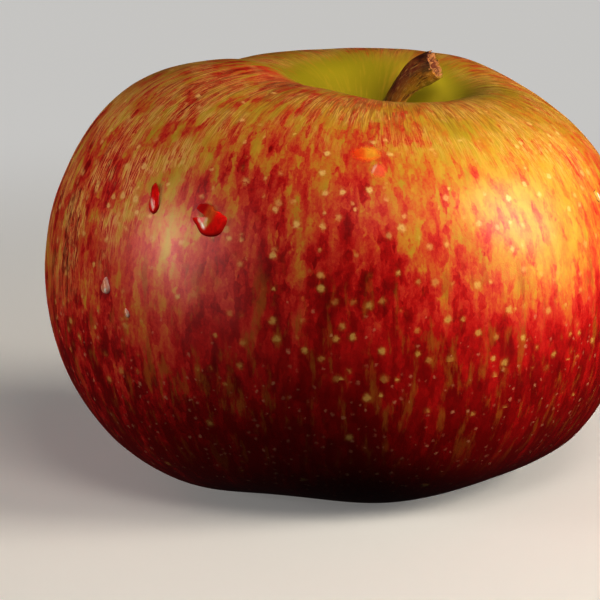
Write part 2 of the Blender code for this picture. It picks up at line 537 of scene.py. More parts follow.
@dataclass(frozen=True)
class GrownShape:
    """How the fruit grew: a turned outline, swollen and shifted into a lopsided apple."""

    # the turned outline as (radius, height), from the stalk's foot to the eye
    cavity: tuple = ((0, 45.0), (2.6, 45.5), (6.0, 49.0), (9.6, 53.1), (13.6, 55.9))
    rim: tuple = ((18.5, 56.9), (26.2, 55.2))
    cheek: tuple = ((33.2, 49.7), (38.1, 41.5), (40.1, 32.0), (40.0, 23.0), (37.9, 14.4),
                    (33.3, 7.2))
    foot: tuple = ((26.4, 2.2), (20.0, 0.25), (15.2, -0.22))
    eye: tuple = ((10.8, 2.0), (7.2, 6.2), (3.2, 8.7), (0, 9.0))
    # how far the rim is lifted, by azimuth
    rim_rise: tuple = ((-25, -3.3), (0, -3.3), (18, -2.2), (40, -0.4), (65, -0.1), (95, 0.0),
                       (125, -0.3), (152, -1.9), (183, 0.9), (207, 1.8), (232, -0.2),
                       (252, -0.9), (270, -1.8), (290, -2.6), (312, -3.1))
    lobes: int = 5
    cavity_shift: float = 4.0       # how far the cavity lies towards +X
    depth_ratio: float = 0.97       # depth from front to back, as a share of the width
    crown_lobe: float = 0.012       # swelling of the lobes, as a share of the radius
    foot_lobe: float = 0.018
    flank: tuple = (25.0, 0.012)    # azimuth of the flatter shoulder, and how flat it is
    belly: tuple = (-10.0, 0.026)   # azimuth of the fuller foot, and how full it is
    foot_groove: float = 0.8        # how far the foot rises between its lobes

    def outline(self, steps: int) -> list[Vector]:
        """The turned outline from the stalk's foot to the eye, as (radius, height).

        Args:
            steps: Points made between two knots.

        Returns:
            The outline's points.
        """
        knots = [Vector(point) for point in
                 self.cavity + self.rim + self.cheek + self.foot + self.eye]
        before = Vector((-knots[1].x, knots[1].y))
        after = Vector((-knots[-2].x, knots[-2].y))
        return smooth_curve([before, *knots, after], steps)

    def grow(self, radius: np.ndarray, height: np.ndarray, azimuth: np.ndarray) -> np.ndarray:
        """Moves points of the turned outline to the grown fruit.

        Args:
            radius: Distance from the axis.
            height: Height above the table.
            azimuth: Direction round the axis, in radians.

        Returns:
            One row of x, y and z for each point.
        """
        crown = smooth_step(27, 50, height)
        low = 1.0 - smooth_step(2, 26, height)
        lobes = np.cos(self.lobes * azimuth)
        rise = crown * smooth_step(3, 16, radius) * (1.0 - 0.8 * smooth_step(24, 39, radius))
        groove = low * smooth_step(7, 15, radius) * (1.0 - smooth_step(20, 34, radius))
        belly = np.cos(azimuth - math.radians(self.belly[0]))
        flank = np.clip(np.cos(azimuth - math.radians(self.flank[0])), 0.0, 1.0) ** 2
        grown = radius * (
            1.0 + self.crown_lobe * crown * lobes
            - self.flank[1] * crown * flank * smooth_step(20, 32, radius)
            + self.foot_lobe * low * lobes * smooth_step(6, 14, radius)
            + self.belly[1] * low * belly * smooth_step(10, 22, radius))
        shift = self.cavity_shift * crown * (1.0 - smooth_step(10, 34, radius))
        lift = rise * around(dict(self.rim_rise), np.degrees(azimuth))
        top = height + lift + self.foot_groove / 2 * groove * (1.0 - lobes)
        return np.stack([grown * np.cos(azimuth) + shift,
                         grown * np.sin(azimuth) * self.depth_ratio,
                         np.maximum(top, 0.0)], axis=-1)

    def spot(self, azimuth: float, arc: float) -> Matrix:
        """The frame of a spot on the skin.

        Args:
            azimuth: Direction round the axis, in degrees.
            arc: Way down the outline from the stalk's foot to the spot.

        Returns:
            A matrix in millimetres: X across the skin, Y up the meridian, Z outwards.
        """
        outline = np.array(self.outline(24))
        lengths = np.concatenate([[0.0], np.cumsum(np.linalg.norm(np.diff(outline, axis=0),
                                                                  axis=1))])
        arcs = np.array([arc, arc - 0.2, arc + 0.2, arc, arc])
        turns = np.radians(np.array([azimuth, azimuth, azimuth, azimuth - 0.3, azimuth + 0.3]))
        points = self.grow(np.interp(arcs, lengths, outline[:, 0]),
                           np.interp(arcs, lengths, outline[:, 1]), turns)
        centre, above, below, left, right = (Vector(point) for point in points)
        up = (above - below).normalized()
        out = (right - left).cross(up).normalized()
        across = up.cross(out)
        return Matrix.Translation(centre) @ Matrix((across, up, out)).transposed().to_4x4()


@dataclass(frozen=True)
class Stroke:
    """A soft patch on the skin, long or short along the meridians."""

    azimuth: float      # degrees
    arc: float          # way down from the stalk's foot
    width: float        # half width across the meridians, mm at the equator
    length: float       # half length along the meridians, mm
    amount: float       # what it adds to the map at its middle


@dataclass(frozen=True)
class SkinMap:
    """How red the skin has coloured in the sun, and where its ground stays green."""

    equator: float = 40.0
    # redness of the shoulder and of the waist, and the arc where the crimson closes, by azimuth
    shoulder: tuple = ((0, 0.30), (30, 0.42), (60, 0.36), (90, 0.44), (120, 0.34), (150, 0.42),
                       (180, 0.40), (205, 0.45), (225, 0.47), (245, 0.38), (258, 0.45),
                       (275, 0.41), (287, 0.35), (298, 0.26), (310, 0.21), (323, 0.26),
                       (338, 0.30))
    waist: tuple = ((0, 0.52), (30, 0.60), (60, 0.50), (90, 0.62), (120, 0.48), (150, 0.60),
                    (180, 0.60), (195, 0.66), (206, 0.70), (218, 0.60), (233, 0.49),
                    (245, 0.60), (256, 0.67), (266, 0.60), (276, 0.66), (287, 0.46),
                    (297, 0.44), (306, 0.35), (316, 0.27), (326, 0.24), (338, 0.46))
    closing: tuple = ((0, 66), (40, 74), (80, 66), (120, 78), (160, 70), (190, 74), (205, 66),
                      (215, 71), (226, 69), (236, 68), (244, 60.5), (254, 57), (265, 54),
                      (277, 55), (287, 62), (297, 61), (306, 63), (316, 64), (326, 64),
                      (337, 65))
    full: float = 0.92          # redness once the crimson has closed
    low: float = 0.31           # how much deeper still the crimson is below the waist: partly the skin's own deeper crimson, partly painted shade on the underside
    # strokes that are redder, more golden, greener or browner than the skin around them
    reds: tuple = (
        Stroke(222, 30, 2.4, 2.2, 0.25), Stroke(240, 21, 8.0, 4.2, 0.54),
        Stroke(222, 22.5, 10.0, 4.6, 0.30), Stroke(254, 31.5, 1.0, 2.0, 0.30),
        Stroke(244, 37.5, 1.1, 3.0, 0.28), Stroke(249, 40, 1.1, 4.0, 0.34),
        Stroke(255, 37, 1.9, 3.4, 0.34), Stroke(214, 46, 2.2, 4.0, 0.16),
        Stroke(206, 57, 1.6, 5.0, 0.20), Stroke(222, 60, 1.4, 5.0, 0.22),
        Stroke(246, 55, 2.0, 6.0, 0.12), Stroke(253, 48, 1.8, 3.4, 0.10),
        Stroke(258, 55, 1.4, 4.0, 0.18), Stroke(267, 57, 1.6, 5.0, 0.22),
        Stroke(272, 50, 0.8, 4.0, 0.18), Stroke(275, 38, 3.2, 3.0, 0.12),
        Stroke(281, 55, 1.6, 4.0, 0.12), Stroke(291, 63, 3.0, 4.0, 0.12),
        Stroke(294, 52, 1.8, 4.0, 0.12), Stroke(333, 44, 1.4, 4.0, 0.16),
        Stroke(330, 62, 1.6, 5.0, 0.2), Stroke(197, 64, 1.4, 6.0, 0.14),
        Stroke(275, 21, 5.5, 4.0, 0.30), Stroke(309, 21.5, 7.0, 4.6, 0.32),
        Stroke(74, 24, 7.0, 3.0, 0.18), Stroke(97, 25, 4.0, 2.6, 0.20),
        Stroke(124, 24, 5.0, 2.6, 0.08), Stroke(241, 45.5, 1.7, 3.6, 0.20),
        Stroke(228, 54, 1.3, 4.0, 0.16), Stroke(212, 60, 1.4, 6.0, 0.16))
    golds: tuple = (
        Stroke(262.5, 48.5, 1.5, 2.6, 0.34), Stroke(263.5, 55, 0.7, 4.0, 0.30),
        Stroke(263, 61.5, 1.2, 1.4, 0.36), Stroke(262.5, 67, 0.6, 3.0, 0.24),
        Stroke(229, 64, 3.2, 4.0, 0.08), Stroke(235, 43, 2.6, 4.0, 0.08),
        Stroke(222, 38, 2.0, 3.0, 0.16), Stroke(302, 33, 2.0, 4.0, 0.20),
        Stroke(254, 65, 1.2, 4.0, 0.14), Stroke(246.5, 31, 3.0, 2.4, 0.16),
        Stroke(233, 74, 2.2, 3.0, 0.06), Stroke(296, 46, 3.0, 4.0, 0.08),
        Stroke(329, 25, 5.0, 4.0, 0.18), Stroke(285, 50, 1.4, 8.0, 0.10),
        Stroke(237, 53, 2.2, 4.5, 0.20), Stroke(238.5, 38.5, 4.0, 3.0, 0.20),
        Stroke(233, 46, 1.6, 3.2, 0.22), Stroke(224, 50, 2.0, 5.0, 0.14))
    greens: tuple = (Stroke(338, 21, 8.0, 5.0, 0.7), Stroke(0, 26, 6.0, 8.0, 0.5),
                     Stroke(205, 20, 9.0, 6.0, 0.5), Stroke(302, 33, 3.0, 4.0, 0.4),
                     Stroke(262.5, 48, 1.6, 3.0, 0.5), Stroke(222, 38, 5.0, 5.0, 0.25))
    tans: tuple = (Stroke(58, 17, 15.0, 9.0, 0.55),)
    # how strongly the pattern breaks up the blush, how calm it is low down, and how far down
    # the fine hairs reach, by azimuth
    broken: tuple = ((0, 0.9), (90, 1.0), (170, 1.2), (195, 1.38), (225, 1.14), (250, 0.98),
                     (290, 0.90), (325, 0.84))
    broken_crown: tuple = (Stroke(232, 28, 17.0, 10.0, 0.30),)
    calm: tuple = ((0, 0.42), (195, 0.06), (225, 0.10), (250, 0.40), (300, 0.42), (325, 0.30))
    hair_reach: tuple = ((0, 50), (90, 46), (180, 62), (210, 66), (232, 52), (250, 38),
                         (275, 40), (300, 42), (330, 50))

    def _spread(self, strokes: tuple, degrees: np.ndarray, arc: np.ndarray) -> np.ndarray:
        """The sum of soft patches at each place.

        Args:
            strokes: The patches.
            degrees: Azimuth of each place.
            arc: Way down from the stalk's foot to each place.

        Returns:
            The sum for each place.
        """
        total = np.zeros_like(arc)
        for stroke in strokes:
            turn = (degrees - stroke.azimuth + 180.0) % 360.0 - 180.0
            across = np.radians(turn) * self.equator / stroke.width
            along = (arc - stroke.arc) / stroke.length
            total += stroke.amount * np.exp(-(across**2 + along**2))
        return total

    def blush(self, degrees: np.ndarray, arc: np.ndarray) -> np.ndarray:
        """How red the skin is, from 0 for the bare ground to 1 for full crimson.

        Args:
            degrees: Azimuth of each place.
            arc: Way down from the stalk's foot to each place.

        Returns:
            The redness of each place.
        """
        away = arc - around(dict(self.closing), degrees)
        share = 0.06 + (around(dict(self.shoulder), degrees) - 0.06) * smooth_step(15, 27, arc)
        waist = around(dict(self.waist), degrees)
        share = share + (waist - share) * smooth_step(34, 50, arc)
        share = share + (self.full - share) * smooth_step(-12, 7, away)
        # Partly painted shade: the crimson deepens and darkens further towards the underside
        share = share + self.low * smooth_step(60, 88, arc)
        share = share * (1.0 - 0.8 * smooth_step(98, 112, arc))
        share += self._spread(self.reds, degrees, arc)
        return share - self._spread(self.golds, degrees, arc)

    def lively(self, degrees: np.ndarray, arc: np.ndarray) -> np.ndarray:
        """How strongly the pattern breaks up the blush, from 0 for not at all.

        Args:
            degrees: Azimuth of each place.
            arc: Way down from the stalk's foot to each place.

        Returns:
            The strength at each place.
        """
        shoulder = around(dict(self.broken), degrees)
        crown = self._spread(self.broken_crown, degrees, arc)
        calm = around(dict(self.calm), degrees)
        low = 1.0 - calm * smooth_step(56, 68, arc)
        return (shoulder + crown) * low * (0.28 + 0.72 * smooth_step(13, 24, arc))

    def hairy(self, degrees: np.ndarray, arc: np.ndarray) -> np.ndarray:
        """Where the fine pale hairs show, from 0 to 1."""
        return 1.0 - smooth_step(-12, 2, arc - around(dict(self.hair_reach), degrees))

    def green(self, degrees: np.ndarray, arc: np.ndarray) -> np.ndarray:
        """How green the ground colour is, from 0 to 1.

        Args:
            degrees: Azimuth of each place.
            arc: Way down from the stalk's foot to each place.

        Returns:
            The share at each place.
        """
        cavity = 1.0 - smooth_step(14, 26, arc)
        eye = smooth_step(98, 112, arc)
        faint = 0.14 * (1.0 - smooth_step(52, 70, arc))
        return np.clip(np.maximum(cavity, 0.8 * eye) + faint
                       + self._spread(self.greens, degrees, arc)
                       - self._spread(self.tans, degrees, arc), 0.0, 1.0)


@dataclass(frozen=True)
class SkinFinish:
    """Waxy apple skin: gold ground, red wash and strokes, pale breathing spots."""

    # colour by redness, from the bare ground to the deepest crimson
    tones: tuple = ((0.00, (0.66, 0.42, 0.050)), (0.15, (0.68, 0.36, 0.042)),
                    (0.30, (0.68, 0.26, 0.036)), (0.41, (0.68, 0.155, 0.032)),
                    (0.50, (0.67, 0.082, 0.030)), (0.59, (0.63, 0.036, 0.023)),
                    (0.68, (0.55, 0.011, 0.010)), (0.84, (0.34, 0.004, 0.004)),
                    (1.00, (0.22, 0.002, 0.002)))
    tone_reach: float = 1.22        # redness at the last of the tones
    # green ground; the hollow's floor, darker as painted shade; the hollow's wall, paler as
    # painted light; and the painted glow on that wall
    leaf: Colour = (0.42, 0.35, 0.018)
    hollow: Colour = (0.35, 0.285, 0.014)
    # wall and through: painted light and a painted glow on the hollow's shaded wall
    wall: Colour = (0.66, 0.54, 0.045)
    through: Colour = (0.105, 0.086, 0.003)
    # marks on the skin
    # dark lines painted as shade in the grooves between the hairs
    furrow_shade: Colour = (0.36, 0.11, 0.02)
    smudge: Colour = (0.42, 0.15, 0.016)
    hair: Colour = (0.82, 0.52, 0.16)
    spot: Colour = (0.74, 0.48, 0.13)
    cream_spot: Colour = (0.93, 0.66, 0.25)
    pit: Colour = (0.36, 0.13, 0.035)
    halo: Colour = (0.56, 0.27, 0.030)
    pale_spot: Colour = (0.64, 0.31, 0.17)
    # how much of the skin below it each mark hides
    painted_wall_light_cover: float = 0.9
    smudge_cover: float = 0.60
    hair_cover: float = 0.80
    furrow_shade_cover: float = 0.58
    halo_cover: float = 0.18
    spot_cover: float = 0.84
    pit_cover: float = 0.20
    pale_cover: float = 0.70
    hairs: tuple = (((1.5, 1.5, 0.13), 0.034), ((2.9, 2.9, 0.26), 0.050))   # grain and width
    large_spots: tuple = (2.0, 0.54)        # distance apart and largest radius, mm
    small_spots: tuple = (1.10, 0.32)
    roughness: float = 0.34
    specular: float = 0.52
    relief: tuple = (0.35, 0.05)            # strength, and depth in mm

    def _strokes(self, bench: Bench, grain: Feed, scale: tuple) -> bpy.types.NodeSocket:
        """Long cells, each with a tone of its own from 0 to 1.

        Args:
            bench: The material's workbench.
            grain: Coordinate that follows the meridians.
            scale: Scale of the cells along each of its axes.

        Returns:
            The tone.
        """
        bent = bench.warped(grain, (0.9, 0.9, 0.6), (1.5, 1.5, 2.6))
        cells = bench.put("ShaderNodeTexVoronoi", feature="SMOOTH_F1")
        bench.feed(cells.inputs["Vector"], bench.stretch(bent, scale))
        cells.inputs["Scale"].default_value = 1.0
        cells.inputs["Smoothness"].default_value = 0.22
        return bench.split(cells.outputs["Color"], "Color")[0]

    def _redness(self, bench: Bench, place: Feed, grain: Feed) -> bpy.types.NodeSocket:
        """The blush broken up into soft strokes, streaks and grain.

        Args:
            bench: The material's workbench.
            place: Place on the skin in millimetres.
            grain: Coordinate that follows the meridians.

        Returns:
            The redness.
        """
        patch = bench.noise(bench.stretch(grain, (0.46, 0.46, 0.30)), 3.0, 0.6, 0.1)
        large = self._strokes(bench, grain, (0.62, 0.62, 0.21))
        small = self._strokes(bench, bench.stretch(grain, (1, 1, 1), (5.0, 9.0, 3.0)),
                              (1.25, 1.25, 0.50))
        streak = bench.noise(bench.stretch(grain, (1.05, 1.05, 0.16)), 2.0, 0.5)
        grit = bench.noise(bench.stretch(place, (2.8, 2.8, 2.4)), 3.0, 0.72)
        broken = bench.total(bench.swing(patch, 0.80), bench.swing(large, 0.36),
                             bench.swing(small, 0.28), bench.swing(streak, 0.44),
                             bench.swing(grit, 0.46))
        return bench.maths("MULTIPLY_ADD", broken, bench.attribute("lively", "Fac"),
                           bench.attribute("blush", "Fac"))

    def _spots(self, bench: Bench, place: Feed, spacing: float, size: float,
               share: Feed) -> tuple[bpy.types.NodeSocket, ...]:
        """Round breathing spots.

        Args:
            bench: The material's workbench.
            place: Place on the skin in millimetres.
            spacing: Distance between neighbouring spots.
            size: Radius of the largest spots.
            share: Share of the spots that show.

        Returns:
            The spots' mask, which spots show, and the distance from a spot's middle in radii.
        """
        cells = bench.put("ShaderNodeTexVoronoi")
        bench.feed(cells.inputs["Vector"],
                   bench.warped(place, (2.1, 2.1, 2.1), (0.6, 0.6, 0.6)))
        cells.inputs["Scale"].default_value = 1.0 / spacing
        chance, girth, tone = bench.split(cells.outputs["Color"], "Color")[:3]
        shown = bench.maths("LESS_THAN", chance, share)
        radius = bench.maths("MULTIPLY_ADD", girth, 0.5 * size / spacing, 0.5 * size / spacing)
        away = bench.maths("DIVIDE", cells.outputs["Distance"], radius)
        strength = bench.maths("MULTIPLY_ADD", tone, 0.62, 0.38)
        core = bench.product(bench.step(away, 1.35, 0.35), bench.product(shown, strength))
        return core, shown, away

    def _ground(self, bench: Bench, place: Feed, grain: Feed, arc: Feed) -> bpy.types.NodeSocket:
        """The skin's colour: red over gold, and green around the stalk and the eye, darker as
        painted shade deep in the hollow.

        Args:
            bench: The material's workbench.
            place: Place on the skin in millimetres.
            grain: Coordinate that follows the meridians.
            arc: Way down from the stalk's foot.

        Returns:
            The colour.
        """
        redness = self._redness(bench, place, grain)
        colour = bench.ramp(bench.maths("DIVIDE", redness, self.tone_reach), self.tones)
        rays = bench.noise(bench.stretch(grain, (0.6, 0.6, 0.28)), 3.0, 0.6)
        green = bench.maths("ADD", bench.attribute("green", "Fac"), bench.swing(rays, 1.5),
                            clamp=True)
        # Painted shade: the green is darker deep in the hollow, by the stalk's foot
        leaf = bench.mix(bench.step(arc, 18.0, 9.0), self.leaf, self.hollow)
        return bench.lay(colour, leaf, green, bench.step(redness, 0.58, 0.20))

    def material(self) -> bpy.types.Material:
        """The skin's material.

        Returns:
            The material, for a mesh with the attributes that the fruit keeps.
        """
        material, bench, shader = new_material("apple_skin")
        place = bench.place()
        grain = bench.attribute("grain")
        arc = bench.split(grain)[2]
        colour = self._ground(bench, place, grain, arc)

        # Painted light: the hollow's shaded wall is painted pale, and a painted glow through the
        # emission lifts it further
        wall = bench.product(bench.step(bench.split(place)[0], 7.8, 10.5),
                             bench.step(arc, 19.0, 15.0))
        colour = bench.lay(colour, self.wall, wall, self.painted_wall_light_cover)
        bench.feed(shader.inputs["Emission Color"], bench.mix(wall, (0, 0, 0), self.through))
        shader.inputs["Emission Strength"].default_value = 1.0

        # Below the waist the brown ground shows faintly through the crimson, in long smudges
        veins = bench.noise(bench.stretch(grain, (0.55, 0.55, 0.16), (4.0, 0.0, 6.0)), 4.0, 0.62)
        smudge = bench.product(bench.step(veins, 0.53, 0.67), bench.product(
            bench.step(arc, 52.0, 60.0), bench.step(arc, 92.0, 72.0)))
        colour = bench.lay(colour, self.smudge, smudge, self.smudge_cover)

        # Fine pale hairs run with the meridians around the crown and down the left flank
        veil = bench.step(bench.noise(bench.stretch(place, (0.20, 0.20, 0.20))), 0.38, 0.54)
        band = bench.product(bench.step(arc, 17.0, 22.0), bench.attribute("hairy", "Fac"))
        hairs = 0.0
        for scale, width in self.hairs:
            hair = bench.noise(bench.stretch(grain, scale), 1.5, 0.5, 0.35)
            hairs = bench.maths("MAXIMUM", hairs, bench.lines(hair, width, 0.25 * width))
        hairs = bench.product(hairs, veil, band)
        colour = bench.lay(colour, self.hair, hairs, self.hair_cover)
        # Painted shade: dark fine lines in the hair band stand for the shadow in the grooves
        # between the hairs
        fold = bench.noise(bench.stretch(grain, (1.25, 1.25, 0.11), (3.0, 8.0, 1.0)), 2.0, 0.5,
                           0.35)
        furrow_shades = bench.product(bench.lines(fold, 0.065, 0.016), band,
                                bench.step(arc, 42.0, 26.0))
        colour = bench.lay(colour, self.furrow_shade, furrow_shades, self.furrow_shade_cover)

        # Breathing spots: large ones with a halo and a pit, and small pale ones low down
        share = bench.product(bench.step(arc, 24.0, 40.0), bench.maths(
            "MULTIPLY_ADD", bench.step(arc, 77.0, 64.0), 0.60, 0.04))
        large, shown, away = self._spots(bench, place, *self.large_spots, share)
        ring = bench.product(bench.step(away, 2.0, 0.6), shown)
        pit = bench.product(bench.step(away, 0.50, 0.20), shown)
        share = bench.product(bench.step(arc, 56.0, 78.0), 0.62)
        small = self._spots(bench, bench.stretch(place, (1, 1, 1), (7.0, 3.0, 5.0)),
                            *self.small_spots, share)[0]
        cream = bench.mix(bench.step(arc, 62.0, 46.0), self.spot, self.cream_spot)
        for mask, tone, cover in ((ring, self.halo, self.halo_cover),
                                  (large, cream, self.spot_cover),
                                  (pit, self.pit, self.pit_cover),
                                  (small, self.pale_spot, self.pale_cover)):
            colour = bench.lay(colour, tone, mask, cover)
        bench.feed(shader.inputs["Base Color"], colour)

        wax = bench.noise(bench.stretch(place, (0.5, 0.5, 0.5)), 3.0, 0.6)
        bench.feed(shader.inputs["Roughness"], bench.total(
            bench.swing(wax, 0.16), bench.product(hairs, 0.12), self.roughness))
        pores = bench.noise(bench.stretch(place, (5.0, 5.0, 5.0)), 2.0, 0.6)
        ribs = bench.noise(bench.stretch(grain, (2.4, 2.4, 0.22)), 2.0, 0.6)
        relief = bench.total(bench.swing(pores, 0.9), bench.swing(ribs, 0.18),
                             bench.product(large, 0.5), bench.product(small, 0.35))
        bench.feed(shader.inputs["Normal"], bench.bump(relief, *self.relief))
        shader.inputs["Specular IOR Level"].default_value = self.specular
        return material


@dataclass(frozen=True)
class Fruit:
    """The skin of the fruit as one closed mesh."""

    shape: GrownShape
    chart: SkinMap
    finish: SkinFinish
    steps_per_span: int = 12
    meridians: int = 400
    unevenness: float = 0.22    # height of the soft swellings of the skin

    def _turned(self) -> bpy.types.Mesh:
        """The outline spun round the axis, with the way down it kept on each vertex.

        Returns:
            The turned mesh, in metres.
        """
        outline = self.shape.outline(self.steps_per_span)
        bench = bmesh.new()
        arc_layer = bench.verts.layers.float.new("arc")
        arc = 0.0
        verts = []
        for before, point in zip([outline[0], *outline], outline):
            arc += (point - before).length
            vert = bench.verts.new((point.x * MM, 0.0, point.y * MM))
            vert[arc_layer] = arc
            verts.append(vert)
        edges = [bench.edges.new(pair) for pair in zip(verts, verts[1:])]
        bmesh.ops.spin(bench, geom=verts + edges, cent=(0, 0, 0), axis=(0, 0, 1),
                       angle=2 * math.pi, steps=self.meridians, use_merge=True,
                       use_normal_flip=False, use_duplicate=False)
        bmesh.ops.remove_doubles(bench, verts=bench.verts, dist=0.0001 * MM)
        bmesh.ops.recalc_face_normals(bench, faces=bench.faces)
        return finished(bench, "apple_skin", smooth=False)

    def _swell(self, points: np.ndarray) -> np.ndarray:
        """Soft swellings of the skin, as a height for each point.

        Args:
            points: One row of x, y and z for each point.

        Returns:
            The height at each point.
        """
        swell = np.array([noise.noise(Vector(point) * 0.075) + 0.4 * noise.noise(
            Vector(point) * 0.21) for point in points])
        return self.unevenness * swell * smooth_step(1.0, 8.0, points[:, 2])

    def build(self) -> bpy.types.Object:
        """Spins, grows and dresses the fruit.

        Returns:
            The fruit.
        """
        mesh = self._turned()
        count = len(mesh.vertices)
        turned = np.empty(count * 3, dtype=np.float32)
        mesh.vertices.foreach_get("co", turned)
        turned = turned.reshape(-1, 3).astype(float) / MM
        arc = np.empty(count, dtype=np.float32)
        mesh.attributes["arc"].data.foreach_get("value", arc)
        arc = arc.astype(float)
        azimuth = np.arctan2(turned[:, 1], turned[:, 0])
        radius = np.hypot(turned[:, 0], turned[:, 1])
        points = self.shape.grow(radius, turned[:, 2], azimuth)
        mesh.vertices.foreach_set("co", (points * MM).astype(np.float32).ravel())
        mesh.update()
        normals = np.empty(count * 3, dtype=np.float32)
        mesh.vertices.foreach_get("normal", normals)
        points += normals.reshape(-1, 3) * self._swell(points)[:, None]
        mesh.vertices.foreach_set("co", (points * MM).astype(np.float32).ravel())
        degrees = np.degrees(azimuth)
        equator = self.chart.equator
        grain = np.stack([equator * np.cos(azimuth), equator * np.sin(azimuth), arc], axis=-1)
        mesh.attributes.new("grain", "FLOAT_VECTOR", "POINT").data.foreach_set(
            "vector", grain.astype(np.float32).ravel())
        for name, values in (("blush", self.chart.blush(degrees, arc)),
                             ("green", self.chart.green(degrees, arc)),
                             ("lively", self.chart.lively(degrees, arc)),
                             ("hairy", self.chart.hairy(degrees, arc))):
            mesh.attributes.new(name, "FLOAT", "POINT").data.foreach_set(
                "value", values.astype(np.float32))
        mesh.shade_smooth()
        return add_piece("apple_skin", mesh, self.finish.material(), Slot.SKIN, "fruit")


# ------------------------------------------------------------------- rods: stalk and threads


@dataclass(frozen=True)
class Station:
    """One ring of a swept rod: its centre and its radius."""

    centre: Vector
    radius: float


class Sweep:
    """Sweeps a ring along a course by extruding it from station to station."""

    def __init__(self, segments: int) -> None:
        """Starts an empty mesh for rods with that many sides.

        Args:
            segments: Sides of each rod.
        """
        self.segments = segments
        self.bench = bmesh.new()
        self.grain = self.bench.verts.layers.float_vector.new("grain")
        self.hollow = self.bench.verts.layers.float.new("hollow")

    def rod(self, stations: list[Station], spin: float = 0.0) -> tuple[list, list]:
        """Adds one open tube.

        Args:
            stations: Its rings, from foot to tip, in millimetres.
            spin: Turn of the rings about the course, in radians.

        Returns:
            The edges of its first and of its last ring.
        """
        ring = bmesh.ops.create_circle(self.bench, cap_ends=False, radius=1.0,
                                       segments=self.segments)["verts"]
        edges = list({edge for vert in ring for edge in vert.link_edges})
        first_edges = edges
        frames = self._frames(stations, spin)
        here = Matrix.Identity(4)
        length = 0.0
        for index, (station, place) in enumerate(zip(stations, frames)):
            if index:
                ring, edges = extruded(self.bench, edges)
                length += (station.centre - stations[index - 1].centre).length
            bmesh.ops.transform(self.bench, matrix=place @ here.inverted(), verts=ring)
            here = place
            back = place.inverted()
            for vert in ring:
                side = back @ vert.co
                vert[self.grain] = (side.x * station.radius, side.y * station.radius, length)
        return first_edges, edges

    @staticmethod
    def _frames(stations: list[Station], spin: float) -> list[Matrix]:
        """Frames along the course that carry on without twisting.

        Args:
            stations: The rod's rings.
            spin: Turn of the rings about the course, in radians.

        Returns:
            Each ring's frame, scaled to its radius.
        """
        frames = []
        side = Vector((0.0, 1.0, 0.0))
        for index, station in enumerate(stations):
            before = stations[max(index - 1, 0)].centre
            after = stations[min(index + 1, len(stations) - 1)].centre
            ahead = (after - before).normalized()
            side = (side - ahead * side.dot(ahead)).normalized()
            turn = Matrix((ahead.cross(side) * -1.0, side, ahead)).transposed().to_4x4()
            frames.append(Matrix.Translation(station.centre) @ turn
                          @ Matrix.Rotation(spin, 4, "Z") @ Matrix.Scale(station.radius, 4))
        return frames

    def cap(self, edges: list, rings: list[tuple[float, float]], ahead: Vector) -> list:
        """Closes a ring with smaller rings inside it.

        Args:
            edges: The open ring.
            rings: Each inner ring's size as a share of the one before, and its step ahead.
            ahead: The direction of the steps.

        Returns:
            The vertices of the inner rings.
        """
        inner = []
        for number, (share, step) in enumerate(rings, 1):
            ring, edges = extruded(self.bench, edges)
            centre = sum((vert.co for vert in ring), Vector()) / len(ring)
            for vert in ring:
                vert.co = centre + (vert.co - centre) * share + ahead * step
                vert[self.hollow] = number / len(rings)
            inner += ring
        bmesh.ops.edgeloop_fill(self.bench, edges=edges)
        return inner

    def mesh(self, name: str) -> bpy.types.Mesh:
        """Ends the work: millimetres become metres, and faces point outwards.

        Args:
            name: The mesh's name.

        Returns:
            The finished mesh.
        """
        bmesh.ops.recalc_face_normals(self.bench, faces=self.bench.faces)
        bmesh.ops.scale(self.bench, vec=(MM, MM, MM), verts=self.bench.verts)
        return finished(self.bench, name)


def stations_through(course: list[tuple], steps: int) -> list[Station]:
    """Rings along a smooth curve.

    Args:
        course: Knots as (x, y, z, radius).
        steps: Rings made between two knots.

    Returns:
        The rings, from the first knot to the last.
    """
    knots = [Vector(knot) for knot in course]
    knots = [2 * knots[0] - knots[1], *knots, 2 * knots[-1] - knots[-2]]
    return [Station(point.to_3d(), point.w) for point in smooth_curve(knots, steps)]


